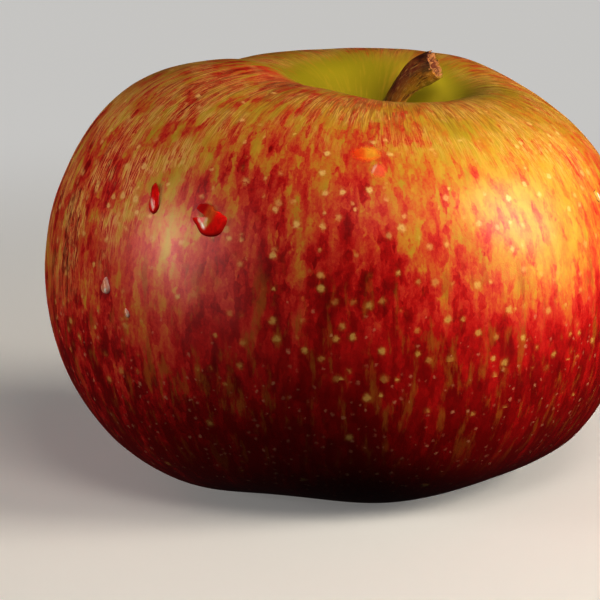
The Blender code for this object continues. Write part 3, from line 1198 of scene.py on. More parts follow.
@dataclass(frozen=True)
class BarkFinish:
    """Dry bark of the stalk: brown, with olive green on its sheltered side."""

    brown: Colour = (0.42, 0.150, 0.018)
    umber: Colour = (0.11, 0.030, 0.010)
    olive: Colour = (0.30, 0.195, 0.016)
    ash: Colour = (0.58, 0.33, 0.09)
    maroon: Colour = (0.22, 0.034, 0.012)
    bruise: Colour = (0.030, 0.010, 0.010)
    green_edge: Colour = (0.40, 0.34, 0.11)
    roughness: float = 0.62
    specular: float = 0.30
    relief: tuple = (0.8, 0.15)     # strength, and depth in mm

    def material(self) -> bpy.types.Material:
        """The bark's material.

        Returns:
            The material.
        """
        material, bench, shader = new_material("stalk_bark")
        grain = bench.attribute("grain")
        place = bench.place()
        fibre = Effects.use(bench, Effects.fibre(), Grain=grain, Coarseness=1.0)
        ridge, thread = fibre.outputs["Ridge"], fibre.outputs["Thread"]
        # Olive on the lower, right side, in broad uneven patches
        clouds = bench.noise(bench.stretch(place, (0.55, 0.55, 0.55)), 3.0, 0.6)
        across, _, along = bench.split(grain)
        lee = bench.total(bench.product(across, 0.34), bench.swing(clouds, 2.4), 0.30)
        lee = bench.product(bench.maths("ADD", lee, 0.0, clamp=True),
                            bench.step(along, 5.0, 11.0))
        colour = bench.mix(lee, self.brown, self.olive)
        edge = bench.product(bench.step(across, -0.95, -1.25), bench.step(along, 9.5, 7.5))
        colour = bench.lay(colour, self.green_edge, edge, 0.8)
        bend = bench.maths("ADD", bench.step(along, 8.5, 10.5), bench.swing(clouds, 2.0))
        bend = bench.maths("MULTIPLY", bend, bench.step(across, -0.3, -1.2), clamp=True)
        colour = bench.mix(bend, colour, self.maroon)
        # Dark between the ridges, pale threads on them, and a bruise towards the torn end
        colour = bench.mix(bench.step(ridge, 0.46, 0.33), colour, self.umber)
        colour = bench.lay(colour, self.ash, bench.step(thread, 0.52, 0.66), 0.74)
        dark = bench.maths("ADD", bench.step(along, 13.4, 15.6), bench.swing(clouds, 2.8))
        dark = bench.maths("MULTIPLY", dark, bench.step(across, 0.6, -0.1), clamp=True)
        colour = bench.lay(colour, self.bruise, dark, 0.75)
        bench.feed(shader.inputs["Base Color"], colour)
        shader.inputs["Roughness"].default_value = self.roughness
        shader.inputs["Specular IOR Level"].default_value = self.specular
        height = bench.total(ridge, bench.swing(thread, 0.5))
        bench.feed(shader.inputs["Normal"], bench.bump(height, *self.relief))
        return material


@dataclass(frozen=True)
class TornFinish:
    """Torn wood at the end of the stalk."""

    tan: Colour = (0.47, 0.215, 0.080)
    rust: Colour = (0.16, 0.040, 0.012)
    roughness: float = 0.75
    relief: tuple = (0.7, 0.12)     # strength, and depth in mm

    def material(self) -> bpy.types.Material:
        """The torn wood's material.

        Returns:
            The material.
        """
        material, bench, shader = new_material("torn_wood")
        place = bench.place()
        clouds = bench.noise(bench.stretch(place, (1.0, 1.0, 1.0)), 3.0, 0.6)
        deep = bench.total(bench.attribute("hollow", "Fac"), bench.swing(clouds, 0.8))
        colour = bench.mix(bench.step(deep, 0.36, 0.66), self.tan, self.rust)
        bench.feed(shader.inputs["Base Color"], colour)
        shader.inputs["Roughness"].default_value = self.roughness
        height = bench.noise(bench.stretch(place, (6.0, 6.0, 6.0)), 3.0, 0.7)
        bench.feed(shader.inputs["Normal"], bench.bump(height, *self.relief))
        return material


@dataclass(frozen=True)
class Stalk:
    """The woody stalk with its swollen, torn end."""

    # knots from the foot to the torn end, as (x, y, z, radius)
    course: tuple = ((4.0, 0, 44.3, 2.3), (4.25, 0, 45.6, 1.75), (4.9, 0, 47.2, 1.5),
                     (6.4, 0, 49.5, 1.42), (8.2, 0, 52.3, 1.42), (9.5, 0, 54.2, 1.66),
                     (10.9, 0, 55.6, 1.98), (12.1, 0, 56.35, 2.05), (13.4, 0, 57.0, 1.98))
    steps: int = 11
    segments: int = 72
    ridge_height: float = 0.16
    fibres: int = 26
    tear_depth: float = 3.0     # how far down from the end the slant is felt
    tear_slant: float = 0.28
    ragged: float = 0.22        # unevenness of the torn rim
    crumbled: float = 0.34      # unevenness of the torn face
    # the torn face's rings: size as a share of the ring before, and step ahead
    torn_rings: tuple = ((0.93, 0.08), (0.88, -0.10), (0.82, -0.22), (0.72, -0.12), (0.6, 0.10),
                         (0.4, 0.12))

    def _rough(self, sweep: Sweep) -> None:
        """Raises lengthwise ridges and small knots on the bark.

        Args:
            sweep: The stalk at work, still open at both ends.
        """
        bench = sweep.bench
        bench.normal_update()
        for vert in bench.verts:
            grain = Vector(vert[sweep.grain])
            ridge = noise.noise(Vector((grain.x * 1.5, grain.y * 1.5, grain.z * 0.16)))
            knot = noise.noise(grain * 0.8 + Vector((9, 2, 4)))
            fine = noise.noise(Vector((grain.x * 4.5, grain.y * 4.5, grain.z * 0.6)))
            height = ridge + 0.6 * knot + 0.35 * fine
            vert.co += vert.normal * self.ridge_height * height

    def build(self) -> list[bpy.types.Object]:
        """Sweeps the stalk and tears its end.

        Returns:
            The stalk and its splinters.
        """
        sweep = Sweep(self.segments)
        stations = stations_through(list(self.course), self.steps)
        foot, tip = sweep.rod(stations)
        self._rough(sweep)
        bmesh.ops.edgeloop_fill(sweep.bench, edges=foot)
        ahead = (stations[-1].centre - stations[-2].centre).normalized()
        # The tear runs askew, so that its face looks a little forward
        for vert in sweep.bench.verts:
            back = (stations[-1].centre - vert.co).dot(ahead)
            share = max(0.0, 1.0 - back / self.tear_depth)
            if (vert.co - stations[-1].centre).length < 2.0 * self.tear_depth:
                vert.co += ahead * self.tear_slant * vert.co.y * share
        for edge in tip:
            for vert in edge.verts:
                ragged = noise.noise(Vector(vert[sweep.grain]) * 1.7)
                vert.co += ahead * self.ragged * ragged
        for vert in sweep.cap(tip, list(self.torn_rings), ahead):
            vert.co += ahead * self.crumbled * noise.noise(vert.co * 1.9)
        bark = add_piece("stalk", sweep.mesh("stalk"), BarkFinish().material(), Slot.BARK,
                         "stalk")
        torn = TornFinish().material()
        bark.data.materials.append(torn)
        rim = stations[-1]
        for face in bark.data.polygons:
            away = Vector(face.center) / MM - rim.centre
            inside = (away - ahead * away.dot(ahead)).length < 0.86 * rim.radius
            if inside and away.dot(ahead) - self.tear_slant * away.y > -0.5:
                face.material_index = 1
        return [bark, self._fibres(rim, ahead, torn)]

    def _fibres(self, rim: Station, ahead: Vector,
                material: bpy.types.Material) -> bpy.types.Object:
        """Splinters that stand up around the torn end.

        Args:
            rim: The last ring of the stalk.
            ahead: Direction in which the stalk ends.
            material: The torn wood.

        Returns:
            The splinters as one piece.
        """
        dice = random.Random(11)
        sweep = Sweep(6)
        across = Vector((0.0, 1.0, 0.0))
        other = ahead.cross(across)
        for number in range(self.fibres):
            turn = 2 * math.pi * number / self.fibres + dice.uniform(-0.1, 0.1)
            out = across * math.cos(turn) + other * math.sin(turn)
            reach = rim.radius * dice.uniform(0.62, 0.95)
            root = rim.centre + out * reach - ahead * 0.45
            root += ahead * self.tear_slant * root.y
            lean = ahead + out * dice.uniform(-0.35, 0.25) + across * dice.uniform(-0.2, 0.2)
            height = dice.uniform(0.45, 0.95)
            middle = root + lean * height * 0.55
            tip = root + lean * height + out * dice.uniform(-0.15, 0.1)
            width = dice.uniform(0.14, 0.3)
            course = [(*root, width), (*middle, width * 0.75), (*tip, 0.04)]
            start, end = sweep.rod(stations_through(course, 3), turn)
            bmesh.ops.edgeloop_fill(sweep.bench, edges=start)
            bmesh.ops.edgeloop_fill(sweep.bench, edges=end)
        return add_piece("stalk_splinters", sweep.mesh("stalk_splinters"), material, Slot.BARK)


# ---------------------------------------------------------------------- the flower in the eye


@dataclass(frozen=True)
class DryFinish:
    """Dead plant matter: brown leaf or thread with pale fuzz."""

    name: str
    brown: Colour
    dark: Colour
    fuzz: Colour
    coarseness: float = 1.6
    roughness: float = 0.85
    relief: tuple = (0.6, 0.08)     # strength, and depth in mm

    def material(self) -> bpy.types.Material:
        """The dry leaf's or thread's material.

        Returns:
            The material.
        """
        material, bench, shader = new_material(self.name)
        fibre = Effects.use(bench, Effects.fibre(), Grain=bench.attribute("grain"),
                            Coarseness=self.coarseness)
        ridge, thread = fibre.outputs["Ridge"], fibre.outputs["Thread"]
        colour = bench.mix(bench.step(ridge, 0.36, 0.60), self.dark, self.brown)
        colour = bench.lay(colour, self.fuzz, bench.step(thread, 0.55, 0.70), 0.6)
        bench.feed(shader.inputs["Base Color"], colour)
        shader.inputs["Roughness"].default_value = self.roughness
        bench.feed(shader.inputs["Normal"], bench.bump(ridge, *self.relief))
        return material


@dataclass(frozen=True)
class Eye:
    """The dried flower: sepals, a style and a ring of stamens."""

    top: float = 8.6            # height of the skin around the eye's middle
    sepals: int = 5
    sepal_length: float = 5.9
    sepal_width: float = 3.3
    sepal_thickness: float = 0.32
    sepal_foot: float = 2.6
    sepal_first: float = 36.0
    sepal_lean: tuple = (6.0, 100.0)
    stamens: int = 10
    stamen_ring: float = 1.55
    stamen_length: float = 2.7
    stamen_radius: float = 0.15
    stamen_head: float = 0.2
    style_length: float = 3.2
    style_radius: float = 0.38
    style_head: float = 0.34
    # a thread's head: places along it, with its girth there
    head_rings: tuple = ((0.25, 0.9), (0.6, 1.0), (0.9, 0.7), (1.05, 0.25))
    leaf_finish: DryFinish = DryFinish("sepal_dry", (0.20, 0.125, 0.06), (0.055, 0.03, 0.014),
                                       (0.42, 0.36, 0.25))
    thread_finish: DryFinish = DryFinish("flower_dry", (0.085, 0.045, 0.02), (0.02, 0.01, 0.006),
                                         (0.25, 0.17, 0.09))

    def _sepal(self, number: int, material: bpy.types.Material) -> bpy.types.Object:
        """One crumpled sepal that curls outwards.

        Args:
            number: Its number in the ring, from 0.
            material: The dry leaf.

        Returns:
            The sepal.
        """
        dice = random.Random(70 + number)
        length = self.sepal_length * dice.uniform(0.88, 1.06)
        first, last = (math.radians(angle + dice.uniform(-8, 8)) for angle in self.sepal_lean)
        skew = dice.uniform(-0.5, 0.5)
        bench = bmesh.new()
        grain = bench.verts.layers.float_vector.new("grain")
        bmesh.ops.create_grid(bench, x_segments=8, y_segments=16, size=0.5)
        for vert in bench.verts:
            along = vert.co.y + 0.5
            across = 2.0 * vert.co.x
            wavy = 1 + 0.12 * math.sin(9 * along)
            half = self.sepal_width / 2 * (1.0 - 0.9 * along**1.3) * wavy
            turn = (last - first) * along
            chord = length * along * (math.sin(turn / 2) / (turn / 2) if turn else 1.0)
            heading = first + turn / 2
            crumple = 0.45 * noise.noise(Vector((across * 1.4, along * 3.0, number * 7.0)))
            bow = 0.5 * (1.0 - across * across) * math.sin(math.pi * along) + crumple * along
            out = chord * math.sin(heading) + bow * math.cos(first + turn)
            down = chord * math.cos(heading) - bow * math.sin(first + turn)
            vert[grain] = (across * half, 0.0, along * length)
            vert.co = Vector((out, across * half + skew * along * along, -down))
        bmesh.ops.recalc_face_normals(bench, faces=bench.faces)
        bmesh.ops.solidify(bench, geom=bench.faces[:], thickness=self.sepal_thickness)
        azimuth = math.radians(self.sepal_first + 360.0 / self.sepals * number)
        foot = Vector((self.sepal_foot, 0.0, self.top + 0.35))
        place = (Matrix.Scale(MM, 4) @ Matrix.Rotation(azimuth, 4, "Z")
                 @ Matrix.Translation(foot))
        bmesh.ops.transform(bench, matrix=place, verts=bench.verts)
        name = f"sepal_{number + 1}"
        piece = add_piece(f"{name}_dry", finished(bench, f"{name}_dry"), material, Slot.SEPAL,
                          name)
        softness = piece.modifiers.new("softness", "SUBSURF")
        softness.levels = 1
        softness.render_levels = 1
        return piece

    def _thread(self, name: str, node: str, course: list[tuple], head: float,
                material: bpy.types.Material) -> bpy.types.Object:
        """One thread with a small shrivelled head.

        Args:
            name: The piece's name.
            node: The CAD node that it stands for.
            course: Knots as (x, y, z, radius).
            head: Radius of its head.
            material: The dry thread.

        Returns:
            The thread.
        """
        sweep = Sweep(12)
        stations = stations_through(course, 6)
        last = stations[-1].centre
        ahead = (last - stations[-2].centre).normalized()
        for share, swell in self.head_rings:
            stations.append(Station(last + ahead * head * 1.6 * share, head * swell))
        start, end = sweep.rod(stations)
        for vert in sweep.bench.verts:
            vert.co += Vector((0.3, 0.3, 0.1)) * stations[0].radius * noise.noise(vert.co * 5.0)
        bmesh.ops.edgeloop_fill(sweep.bench, edges=start)
        bmesh.ops.edgeloop_fill(sweep.bench, edges=end)
        return add_piece(name, sweep.mesh(name), material, Slot.FLOWER, node)

    def build(self) -> list[bpy.types.Object]:
        """Makes the sepals, the style and the stamens.

        Returns:
            The pieces of the dried flower.
        """
        leaf = self.leaf_finish.material()
        thread = self.thread_finish.material()
        made = [self._sepal(number, leaf) for number in range(self.sepals)]
        top = self.top + 0.3
        style = [(0, 0, top, self.style_radius),
                 (0.05, 0, top - 0.5 * self.style_length, self.style_radius * 0.8),
                 (0.22, 0.1, top - self.style_length, self.style_radius * 0.7)]
        made.append(self._thread("style_dry", "style", style, self.style_head, thread))
        for number in range(self.stamens):
            dice = random.Random(number)
            turn = Matrix.Rotation(2 * math.pi * (number + 0.5) / self.stamens, 3, "Z")
            course = [(turn @ Vector(point)).to_tuple() + (self.stamen_radius,) for point in (
                (self.stamen_ring, 0, top), (self.stamen_ring + 0.05, 0.06, top - 1.2),
                (self.stamen_ring - 0.12 + dice.uniform(-0.1, 0.1), dice.uniform(-0.2, 0.2),
                 top - 0.8 * self.stamen_length),
                (self.stamen_ring - dice.uniform(0.2, 0.5), dice.uniform(-0.3, 0.3),
                 top - self.stamen_length))]
            made.append(self._thread(f"stamen_{number + 1}_dry", f"stamen_{number + 1}",
                                     course, self.stamen_head, thread))
        return made


# -------------------------------------------------------------------------- drops of water


def skin_of(fruit: bpy.types.Object) -> BVHTree:
    """A fruit's surface, for finding the nearest place on it."""
    return BVHTree.FromPolygons([vert.co for vert in fruit.data.vertices],
                                [face.vertices for face in fruit.data.polygons])


@dataclass(frozen=True)
class Dab:
    """A soft stroke of colour inside a drop, in millimetres from the drop's middle."""

    across: float
    up: float
    turn: float             # degrees, 0 lies across the skin
    length: float           # half length
    width: float            # half width
    colour: Enum
    amount: float = 1.0

    def at(self, across: float, up: float) -> float:
        """Its strength at a place in the drop, from 0 to 1.

        Args:
            across: Place across the skin, in millimetres from the drop's middle.
            up: Place up the skin.

        Returns:
            The strength.
        """
        turn = math.radians(self.turn)
        along = (across - self.across) * math.cos(turn) + (up - self.up) * math.sin(turn)
        aside = (up - self.up) * math.cos(turn) - (across - self.across) * math.sin(turn)
        return self.amount * math.exp(-((along / self.length) ** 4 + (aside / self.width) ** 4))


class Wet(Enum):
    """The colours that show in water on the skin; the pale pink, the glint and in places the rose
    are painted highlights, and the darkest rim colour is painted shade.
    """

    CRIMSON = (0.80, 0.012, 0.009)
    GARNET = (0.36, 0.006, 0.007)
    # painted shade along a drop's lower edge
    RIM_SHADE = (0.16, 0.003, 0.004)
    AMBER = (0.52, 0.12, 0.022)
    ORANGE = (0.84, 0.20, 0.020)
    EMBER = (0.80, 0.085, 0.014)
    GOLD = (0.82, 0.43, 0.045)
    OLIVE = (0.52, 0.36, 0.040)
    CORAL = (0.80, 0.15, 0.08)
    # rose: the skin seen through the small drops, and a painted highlight in the dabs of the long
    # and hooked drops
    ROSE = (0.82, 0.40, 0.27)
    # painted highlights: the pale pink, and the brighter glint
    PINK_HIGHLIGHT = (0.86, 0.60, 0.52)
    GLINT = (0.93, 0.88, 0.74)


@dataclass(frozen=True)
class Drop:
    """One drop of water that clings to the skin."""

    name: str
    azimuth: float          # place on the skin, degrees
    arc: float              # place on the skin, way down from the stalk's foot
    reach: tuple            # outline as (direction in degrees, reach in mm), 90 is uphill
    height: float           # how far it stands proud, mm
    body: Wet               # its colour where nothing else shows in it
    dabs: tuple             # what shows in it, the last on top
    turn: float = 0.0       # turn of its outline on the skin, degrees
    rim: float = 0.8        # painted shade: darkness of the line round its lower edge
    ring: float = 0.0       # painted highlight: light caught all round its edge
    fade: float = 0.9       # how much its upper edge melts into the skin
    thin: float = 0.0       # how much its lower edge melts too
    faint: float = 0.0      # how much all of it melts
    notch: tuple = ()       # where it is open: direction and half angle in degrees


@dataclass(frozen=True)
class WaterDrops:
    """The drops of water on the apple, all with one finish."""

    shape: GrownShape
    skin: BVHTree
    # In the dabs, the pale pink, the glint, and the rose of the long and hooked drops are painted
    # highlights
    drops: tuple = (
        Drop("water_drop_long", 231.0, 47.2,
             ((0, 0.64), (45, 0.84), (75, 1.9), (90, 2.45), (105, 2.0), (135, 0.95), (180, 0.64),
              (225, 1.10), (252, 1.95), (270, 2.35), (288, 2.0), (315, 1.05)), 0.45, Wet.CRIMSON,
             # The garnet line along the left edge is painted shade, like the rim
             (Dab(-0.50, 0.4, 88.0, 1.5, 0.22, Wet.GARNET, 0.8),
              Dab(0.20, 1.5, 80.0, 0.7, 0.35, Wet.GARNET, 0.5),
              Dab(-0.16, -0.95, 102.0, 0.62, 0.19, Wet.PINK_HIGHLIGHT, 0.85),
              Dab(0.08, -1.55, 30.0, 0.28, 0.16, Wet.ROSE, 0.9)), turn=13.0),
        Drop("water_drop_hooked", 244.7, 49.3,
             ((6, 2.35), (23, 1.75), (40, 1.50), (65, 1.55), (82, 2.15), (97, 2.40), (112, 2.50),
              (142, 2.55), (163, 2.35), (182, 2.50), (211, 2.05), (249, 2.25), (277, 2.35),
              (312, 2.50), (341, 2.35)), 0.60, Wet.CRIMSON,
             (Dab(-1.05, 1.35, 50.0, 1.1, 0.75, Wet.GARNET, 0.75),
              Dab(0.15, 0.65, 75.0, 1.25, 0.72, Wet.AMBER, 0.85),
              Dab(-0.15, -0.62, 60.0, 0.60, 0.40, Wet.OLIVE, 0.85),
              Dab(-0.95, -0.85, -50.0, 0.78, 0.20, Wet.ROSE, 0.95),
              Dab(-0.66, -1.02, -54.0, 0.36, 0.14, Wet.GLINT, 0.95)),
             notch=(169.0, 15.0)),
        Drop("water_drop_small", 221.6, 60.0,
             ((0, 0.80), (45, 0.72), (75, 1.05), (90, 1.25), (105, 1.05), (135, 0.72),
              (180, 0.80), (225, 0.98), (270, 0.98), (315, 0.98)), 0.50, Wet.ROSE,
             (Dab(-0.05, 0.0, 90.0, 0.60, 0.28, Wet.AMBER, 0.45),
              Dab(0.32, -0.45, 70.0, 0.34, 0.18, Wet.GLINT, 0.95)),
             rim=0.5, ring=0.95, fade=0.2),
        Drop("water_drop_tiny", 227.6, 63.0,
             ((0, 0.36), (60, 0.48), (90, 0.70), (120, 0.52), (180, 0.36), (225, 0.46),
              (270, 0.55), (315, 0.46)), 0.30, Wet.ROSE,
             (Dab(0.0, 0.0, 90.0, 0.3, 0.12, Wet.AMBER, 0.5),
              Dab(0.14, -0.22, 70.0, 0.2, 0.12, Wet.GLINT, 0.9)),
             turn=22.0, rim=0.7, ring=0.85, fade=0.2),
        Drop("water_drop_flat", 276.6, 38.3,
             ((0, 3.0), (40, 2.9), (90, 2.1), (140, 2.4), (180, 3.2), (220, 2.5), (270, 2.0),
              (320, 2.6)), 0.14, Wet.ORANGE,
             (Dab(0.95, 0.20, 4.0, 1.10, 1.15, Wet.GOLD, 1.0),
              Dab(-1.3, -0.2, 0.0, 1.1, 1.0, Wet.EMBER, 0.85)),
             rim=0.0, fade=1.0, thin=0.9, faint=0.46),
        Drop("water_drop_round", 279.0, 41.2,
             ((0, 1.6), (90, 1.7), (180, 1.6), (270, 1.7)), 0.18, Wet.CORAL,
             (Dab(-0.55, 0.25, 62.0, 0.85, 0.20, Wet.PINK_HIGHLIGHT, 0.75),
              Dab(0.15, -0.2, 0.0, 0.6, 0.6, Wet.CORAL, 0.9)),
             rim=0.0, fade=0.8, thin=0.75, faint=0.46),
        Drop("water_drop_side", 337.5, 49.3,
             ((0, 0.55), (90, 1.0), (180, 0.55), (270, 0.8)), 0.30, Wet.GOLD,
             (Dab(0.0, 0.0, 90.0, 0.5, 0.2, Wet.GLINT, 1.0),), rim=0.4, ring=0.3, fade=0.6),
    )
    mottle: float = 0.28        # how much the water's darker clouds hide
    glow: float = 0.07          # painted glow: light gathered in the water
    roughness: float = 0.08
    refraction: float = 1.33
    bed: float = 0.15           # how far a drop's underside reaches into the skin, mm

    def material(self) -> bpy.types.Material:
        """Water on the skin: the colour below it shows deep and wet, and a painted glow stands
        for the light that gathers in it.

        Returns:
            The material, for meshes that keep what shows in them as tint and melt.
        """
        material, bench, shader = new_material("water_on_skin")
        mottle = bench.noise(bench.stretch(bench.place(), (1.9, 1.9, 1.4)), 3.0, 0.6)
        tint = bench.attribute("tint", "Color")
        bench.feed(shader.inputs["Base Color"], bench.lay(
            tint, Wet.GARNET.value, bench.step(mottle, 0.55, 0.36), self.mottle))
        melt = bench.maths("ADD", bench.attribute("melt", "Fac"), bench.swing(mottle, 0.2))
        bench.feed(shader.inputs["Alpha"], bench.step(melt, 0.66, 0.40))
        # Painted glow: the water's colour is given off as light
        bench.feed(shader.inputs["Emission Color"], tint)
        shader.inputs["Emission Strength"].default_value = self.glow
        shader.inputs["Roughness"].default_value = self.roughness
        shader.inputs["IOR"].default_value = self.refraction
        return material

    @staticmethod
    def _tint(drop: Drop, across: float, up: float, flat: float, angle: float) -> Vector:
        """The colour that shows at a place in a drop, with a painted highlight round its edge and
        painted shade along its lower edge.

        Args:
            drop: The drop.
            across: Place across the skin, in millimetres from the drop's middle.
            up: Place up the skin.
            flat: Distance from the middle, as a share of the reach there.
            angle: Direction from the middle, in radians.

        Returns:
            The colour.
        """
        colour = Vector(drop.body.value)
        for dab in drop.dabs:
            colour = colour.lerp(Vector(dab.colour.value), dab.at(across, up))
        # Painted highlight all round the edge
        outer = max(0.0, (flat - 0.80) / 0.20)
        colour = colour.lerp(Vector(Wet.PINK_HIGHLIGHT.value), drop.ring * outer ** 0.5)
        # Painted shade along the lower edge
        low = max(0.0, 0.35 - math.sin(angle)) / 1.35
        return colour.lerp(Vector(Wet.RIM_SHADE.value), drop.rim * outer * low ** 0.5)

    @staticmethod
    def _melt(drop: Drop, flat: float, angle: float) -> float:
        """How much a drop melts into the skin at a place.

        Args:
            drop: The drop.
            flat: Distance from the middle, as a share of the reach there.
            angle: Direction from the middle, in radians.

        Returns:
            The melt, from 0 for a clear edge.
        """
        high = max(0.0, math.sin(angle)) ** 1.5
        far = max(0.0, (flat - 0.35) / 0.65)
        melt = drop.faint + far * (1.0 - 1.4 * drop.faint) * (
            drop.fade * high + drop.thin * (1.0 - high))
        if drop.notch:
            aside = (math.degrees(angle) - drop.notch[0] + 180.0) % 360.0 - 180.0
            inner = min(1.0, max(0.0, (flat - 0.12) / 0.30))
            melt += 1.1 * inner * math.exp(-(aside / drop.notch[1]) ** 4)
        return melt

    def _lens(self, drop: Drop) -> bpy.types.Mesh:
        """A drop's mesh, with what shows in it kept on each vertex.

        Args:
            drop: The drop.

        Returns:
            The mesh, lying on the skin.
        """
        bench = bmesh.new()
        bmesh.ops.create_uvsphere(bench, u_segments=96, v_segments=56, radius=1.0)
        tint = bench.verts.layers.float_color.new("tint")
        melt = bench.verts.layers.float.new("melt")
        place = self.shape.spot(drop.azimuth, drop.arc)
        turn = Matrix.Rotation(math.radians(drop.turn), 4, "Z")
        reach = dict(drop.reach)
        for vert in bench.verts:
            flat = min(1.0, math.hypot(vert.co.x, vert.co.y))
            angle = math.atan2(vert.co.y, vert.co.x)
            edge = float(around(reach, np.array(math.degrees(angle))))
            across, up = (flat * edge * turned for turned in (math.cos(angle), math.sin(angle)))
            vert[tint] = (*self._tint(drop, across, up, flat, angle), 1.0)
            vert[melt] = self._melt(drop, flat, angle)
            proud = abs(vert.co.z) ** (1.0 + drop.thin)
            lift = proud * drop.height if vert.co.z > 0 else -self.bed * proud
            spread = place @ turn @ Vector((across, up, 0.0))
            foot, out, _, _ = self.skin.find_nearest(spread * MM)
            vert.co = foot + out * lift * MM
        bmesh.ops.recalc_face_normals(bench, faces=bench.faces)
        return finished(bench, drop.name)

    def build(self) -> list[bpy.types.Object]:
        """Makes each drop as a lens on the skin; the flattest cast no shadow.

        Returns:
            The drops.
        """
        water = self.material()
        made = []
        for drop in self.drops:
            lens = add_piece(drop.name, self._lens(drop), water)
            lens.visible_shadow = drop.thin < 0.5
            made.append(lens)
        return made


# ------------------------------------------------------------------------------ the studio


class Task(Enum):
    """What a lamp is for: to light surfaces, or to lay a sheen on them."""

    LIGHT = (True, False)
    SHEEN = (False, True)


@dataclass(frozen=True)
class SoftBox:
    """One soft lamp that faces the apple."""

    name: str
    azimuth: float      # degrees
    elevation: float    # degrees
    distance: float     # from the camera's target, m
    size: tuple         # width and height, m
    power: float        # W
    colour: Colour
    task: Task


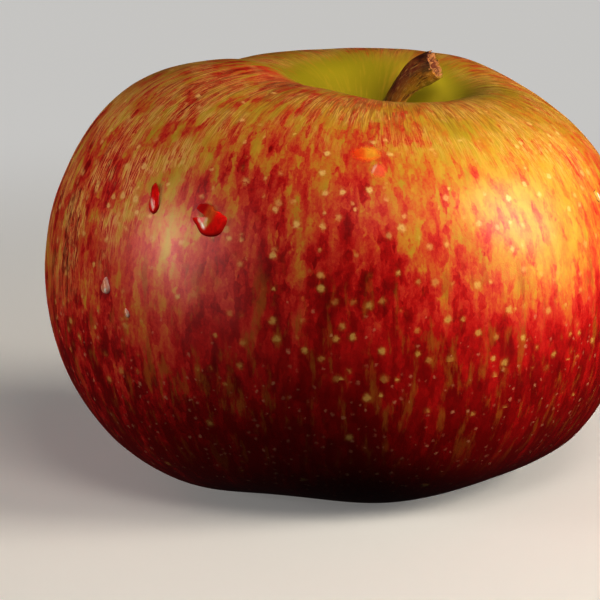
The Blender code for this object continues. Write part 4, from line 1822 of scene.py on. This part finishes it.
@dataclass(frozen=True)
class Studio:
    """Pale floor, soft lamps and the camera."""

    floor_radius: float = 4.0
    cove: float = 0.8           # radius of the curve from the floor up into the wall
    # near the apple the floor takes light and shadow, and farther off it is an even pale sweep
    near: float = 70.0          # mm from the middle
    far: float = 320.0
    near_floor: Colour = (0.70, 0.695, 0.685)
    far_floor: Colour = (0.02, 0.02, 0.02)
    near_glow: Colour = (0.185, 0.183, 0.179)
    far_glow: Colour = (0.62, 0.613, 0.60)
    floor_roughness: float = 0.7
    sky: Colour = (0.93, 0.95, 1.0)
    sky_strength: float = 0.015
    gamma: float = 0.8
    target: tuple = (0.0, 0.0, 0.030)
    elevation: float = 11.0
    distance: float = 0.45
    lens: float = 194.5
    sensor: float = 36.0
    aim_left: float = 0.0050    # how far left of and below the target the camera points
    aim_below: float = 0.0058
    lamps: tuple = (
        SoftBox("key_right", 345.0, 20.5, 0.45, (0.20, 0.20), 2.52, (1.0, 0.91, 0.78),
                Task.LIGHT),
        SoftBox("sheen_right", 349.0, 24.0, 0.45, (0.30, 0.30), 1.70, (1.0, 0.92, 0.82),
                Task.SHEEN),
        SoftBox("front_top", 288.0, 42.0, 0.45, (0.20, 0.20), 0.86, (1.0, 0.94, 0.84),
                Task.LIGHT),
        SoftBox("fill_left", 181.0, 5.0, 0.70, (0.23, 0.10), 2.65, (1.0, 0.93, 0.88),
                Task.LIGHT),
        SoftBox("sheen_left", 209.0, 15.0, 0.42, (0.15, 0.21), 0.92, (1.0, 0.90, 0.81),
                Task.SHEEN),
        SoftBox("back_fill", 108.0, 8.0, 1.20, (0.50, 0.32), 2.30, (1.0, 0.95, 0.90),
                Task.LIGHT),
    )

    def _sweep(self) -> bpy.types.Mesh:
        """The floor's mesh: a wide disc whose edge curves up into a wall.

        Returns:
            The mesh, in metres.
        """
        bench = bmesh.new()
        rim = bmesh.ops.create_circle(bench, cap_ends=True, segments=96,
                                      radius=self.floor_radius)["verts"]
        edges = list({edge for vert in rim for edge in vert.link_edges})
        # Nine steps bend the edge upright, and three more raise it
        for step in range(1, 13):
            turn = math.radians(min(90.0, 10.0 * step))
            out = self.floor_radius + self.cove * math.sin(turn)
            rise = self.cove * (1.0 - math.cos(turn)) + self.cove * max(0, step - 9)
            ring, edges = extruded(bench, edges)
            for vert in ring:
                vert.co = (*(vert.co.xy.normalized() * out), rise)
        bmesh.ops.recalc_face_normals(bench, faces=bench.faces)
        return finished(bench, "floor", smooth=False)

    def _floor(self) -> None:
        """Lays the pale floor."""
        mesh = self._sweep()
        material, bench, shader = new_material("pale_floor")
        away = bench.put("ShaderNodeVectorMath", operation="LENGTH")
        bench.feed(away.inputs[0], bench.place())
        far = bench.step(away.outputs["Value"], self.near, self.far)
        bench.feed(shader.inputs["Base Color"], bench.mix(far, self.near_floor, self.far_floor))
        bench.feed(shader.inputs["Emission Color"],
                   bench.mix(far, self.near_glow, self.far_glow))
        shader.inputs["Emission Strength"].default_value = 1.0
        shader.inputs["Roughness"].default_value = self.floor_roughness
        mesh.materials.append(material)
        floor = bpy.data.objects.new("floor", mesh)
        bpy.context.scene.collection.objects.link(floor)
        # It casts no haze of its own onto the glossy skin
        floor.visible_glossy = False
        floor.visible_diffuse = False

    def _lamp(self, box: SoftBox) -> None:
        """Hangs one soft box.

        Args:
            box: The soft box.
        """
        light = bpy.data.lights.new(box.name, "AREA")
        light.shape = "RECTANGLE"
        light.size, light.size_y = box.size
        light.energy = box.power
        light.color = box.colour
        lamp = bpy.data.objects.new(box.name, light)
        turn, rise = math.radians(box.azimuth), math.radians(box.elevation)
        way = Vector((math.cos(turn) * math.cos(rise), math.sin(turn) * math.cos(rise),
                      math.sin(rise)))
        lamp.location = Vector(self.target) + way * box.distance
        lamp.rotation_euler = way.to_track_quat("Z", "Y").to_euler()
        lamp.visible_diffuse, lamp.visible_glossy = box.task.value
        lamp.visible_camera = False
        bpy.context.scene.collection.objects.link(lamp)

    def _world(self) -> None:
        """Even, dim light from all around."""
        world = bpy.data.worlds.new("studio")
        world.use_nodes = True
        background = world.node_tree.nodes["Background"]
        background.inputs["Color"].default_value = (*self.sky, 1.0)
        background.inputs["Strength"].default_value = self.sky_strength
        bpy.context.scene.world = world

    def _camera(self) -> None:
        """A long lens at table height, a little above the apple."""
        data = bpy.data.cameras.new("camera")
        data.lens = self.lens
        data.sensor_width = self.sensor
        data.clip_start = 0.01
        data.clip_end = 20.0
        camera = bpy.data.objects.new("camera", data)
        rise = math.radians(self.elevation)
        back = Vector((0.0, -math.cos(rise), math.sin(rise)))
        right = Vector((1.0, 0.0, 0.0))
        above = Vector((0.0, math.sin(rise), math.cos(rise)))
        camera.location = Vector(self.target) + back * self.distance
        aim = Vector(self.target) - right * self.aim_left - above * self.aim_below
        camera.rotation_euler = (camera.location - aim).to_track_quat("Z", "Y").to_euler()
        bpy.context.scene.collection.objects.link(camera)
        bpy.context.scene.camera = camera

    def build(self) -> None:
        """Sets up floor, lamps, world and camera."""
        self._floor()
        for box in self.lamps:
            self._lamp(box)
        self._world()
        self._camera()
        bpy.context.scene.view_settings.view_transform = "Standard"
        bpy.context.scene.view_settings.gamma = self.gamma


def main() -> None:
    """Builds the apple piece by piece, then the studio around it."""
    logging.basicConfig(level=logging.INFO, format="%(name)s: %(message)s")
    shape = GrownShape()
    made = [Fruit(shape, SkinMap(), SkinFinish()).build()]
    made += Stalk().build()
    made += Eye().build()
    made += WaterDrops(shape, skin_of(made[0])).build()
    for piece in made:
        LOG.info("%s: %d faces", piece.name, len(piece.data.polygons))
    Studio().build()


if __name__ == "__main__":
    main()
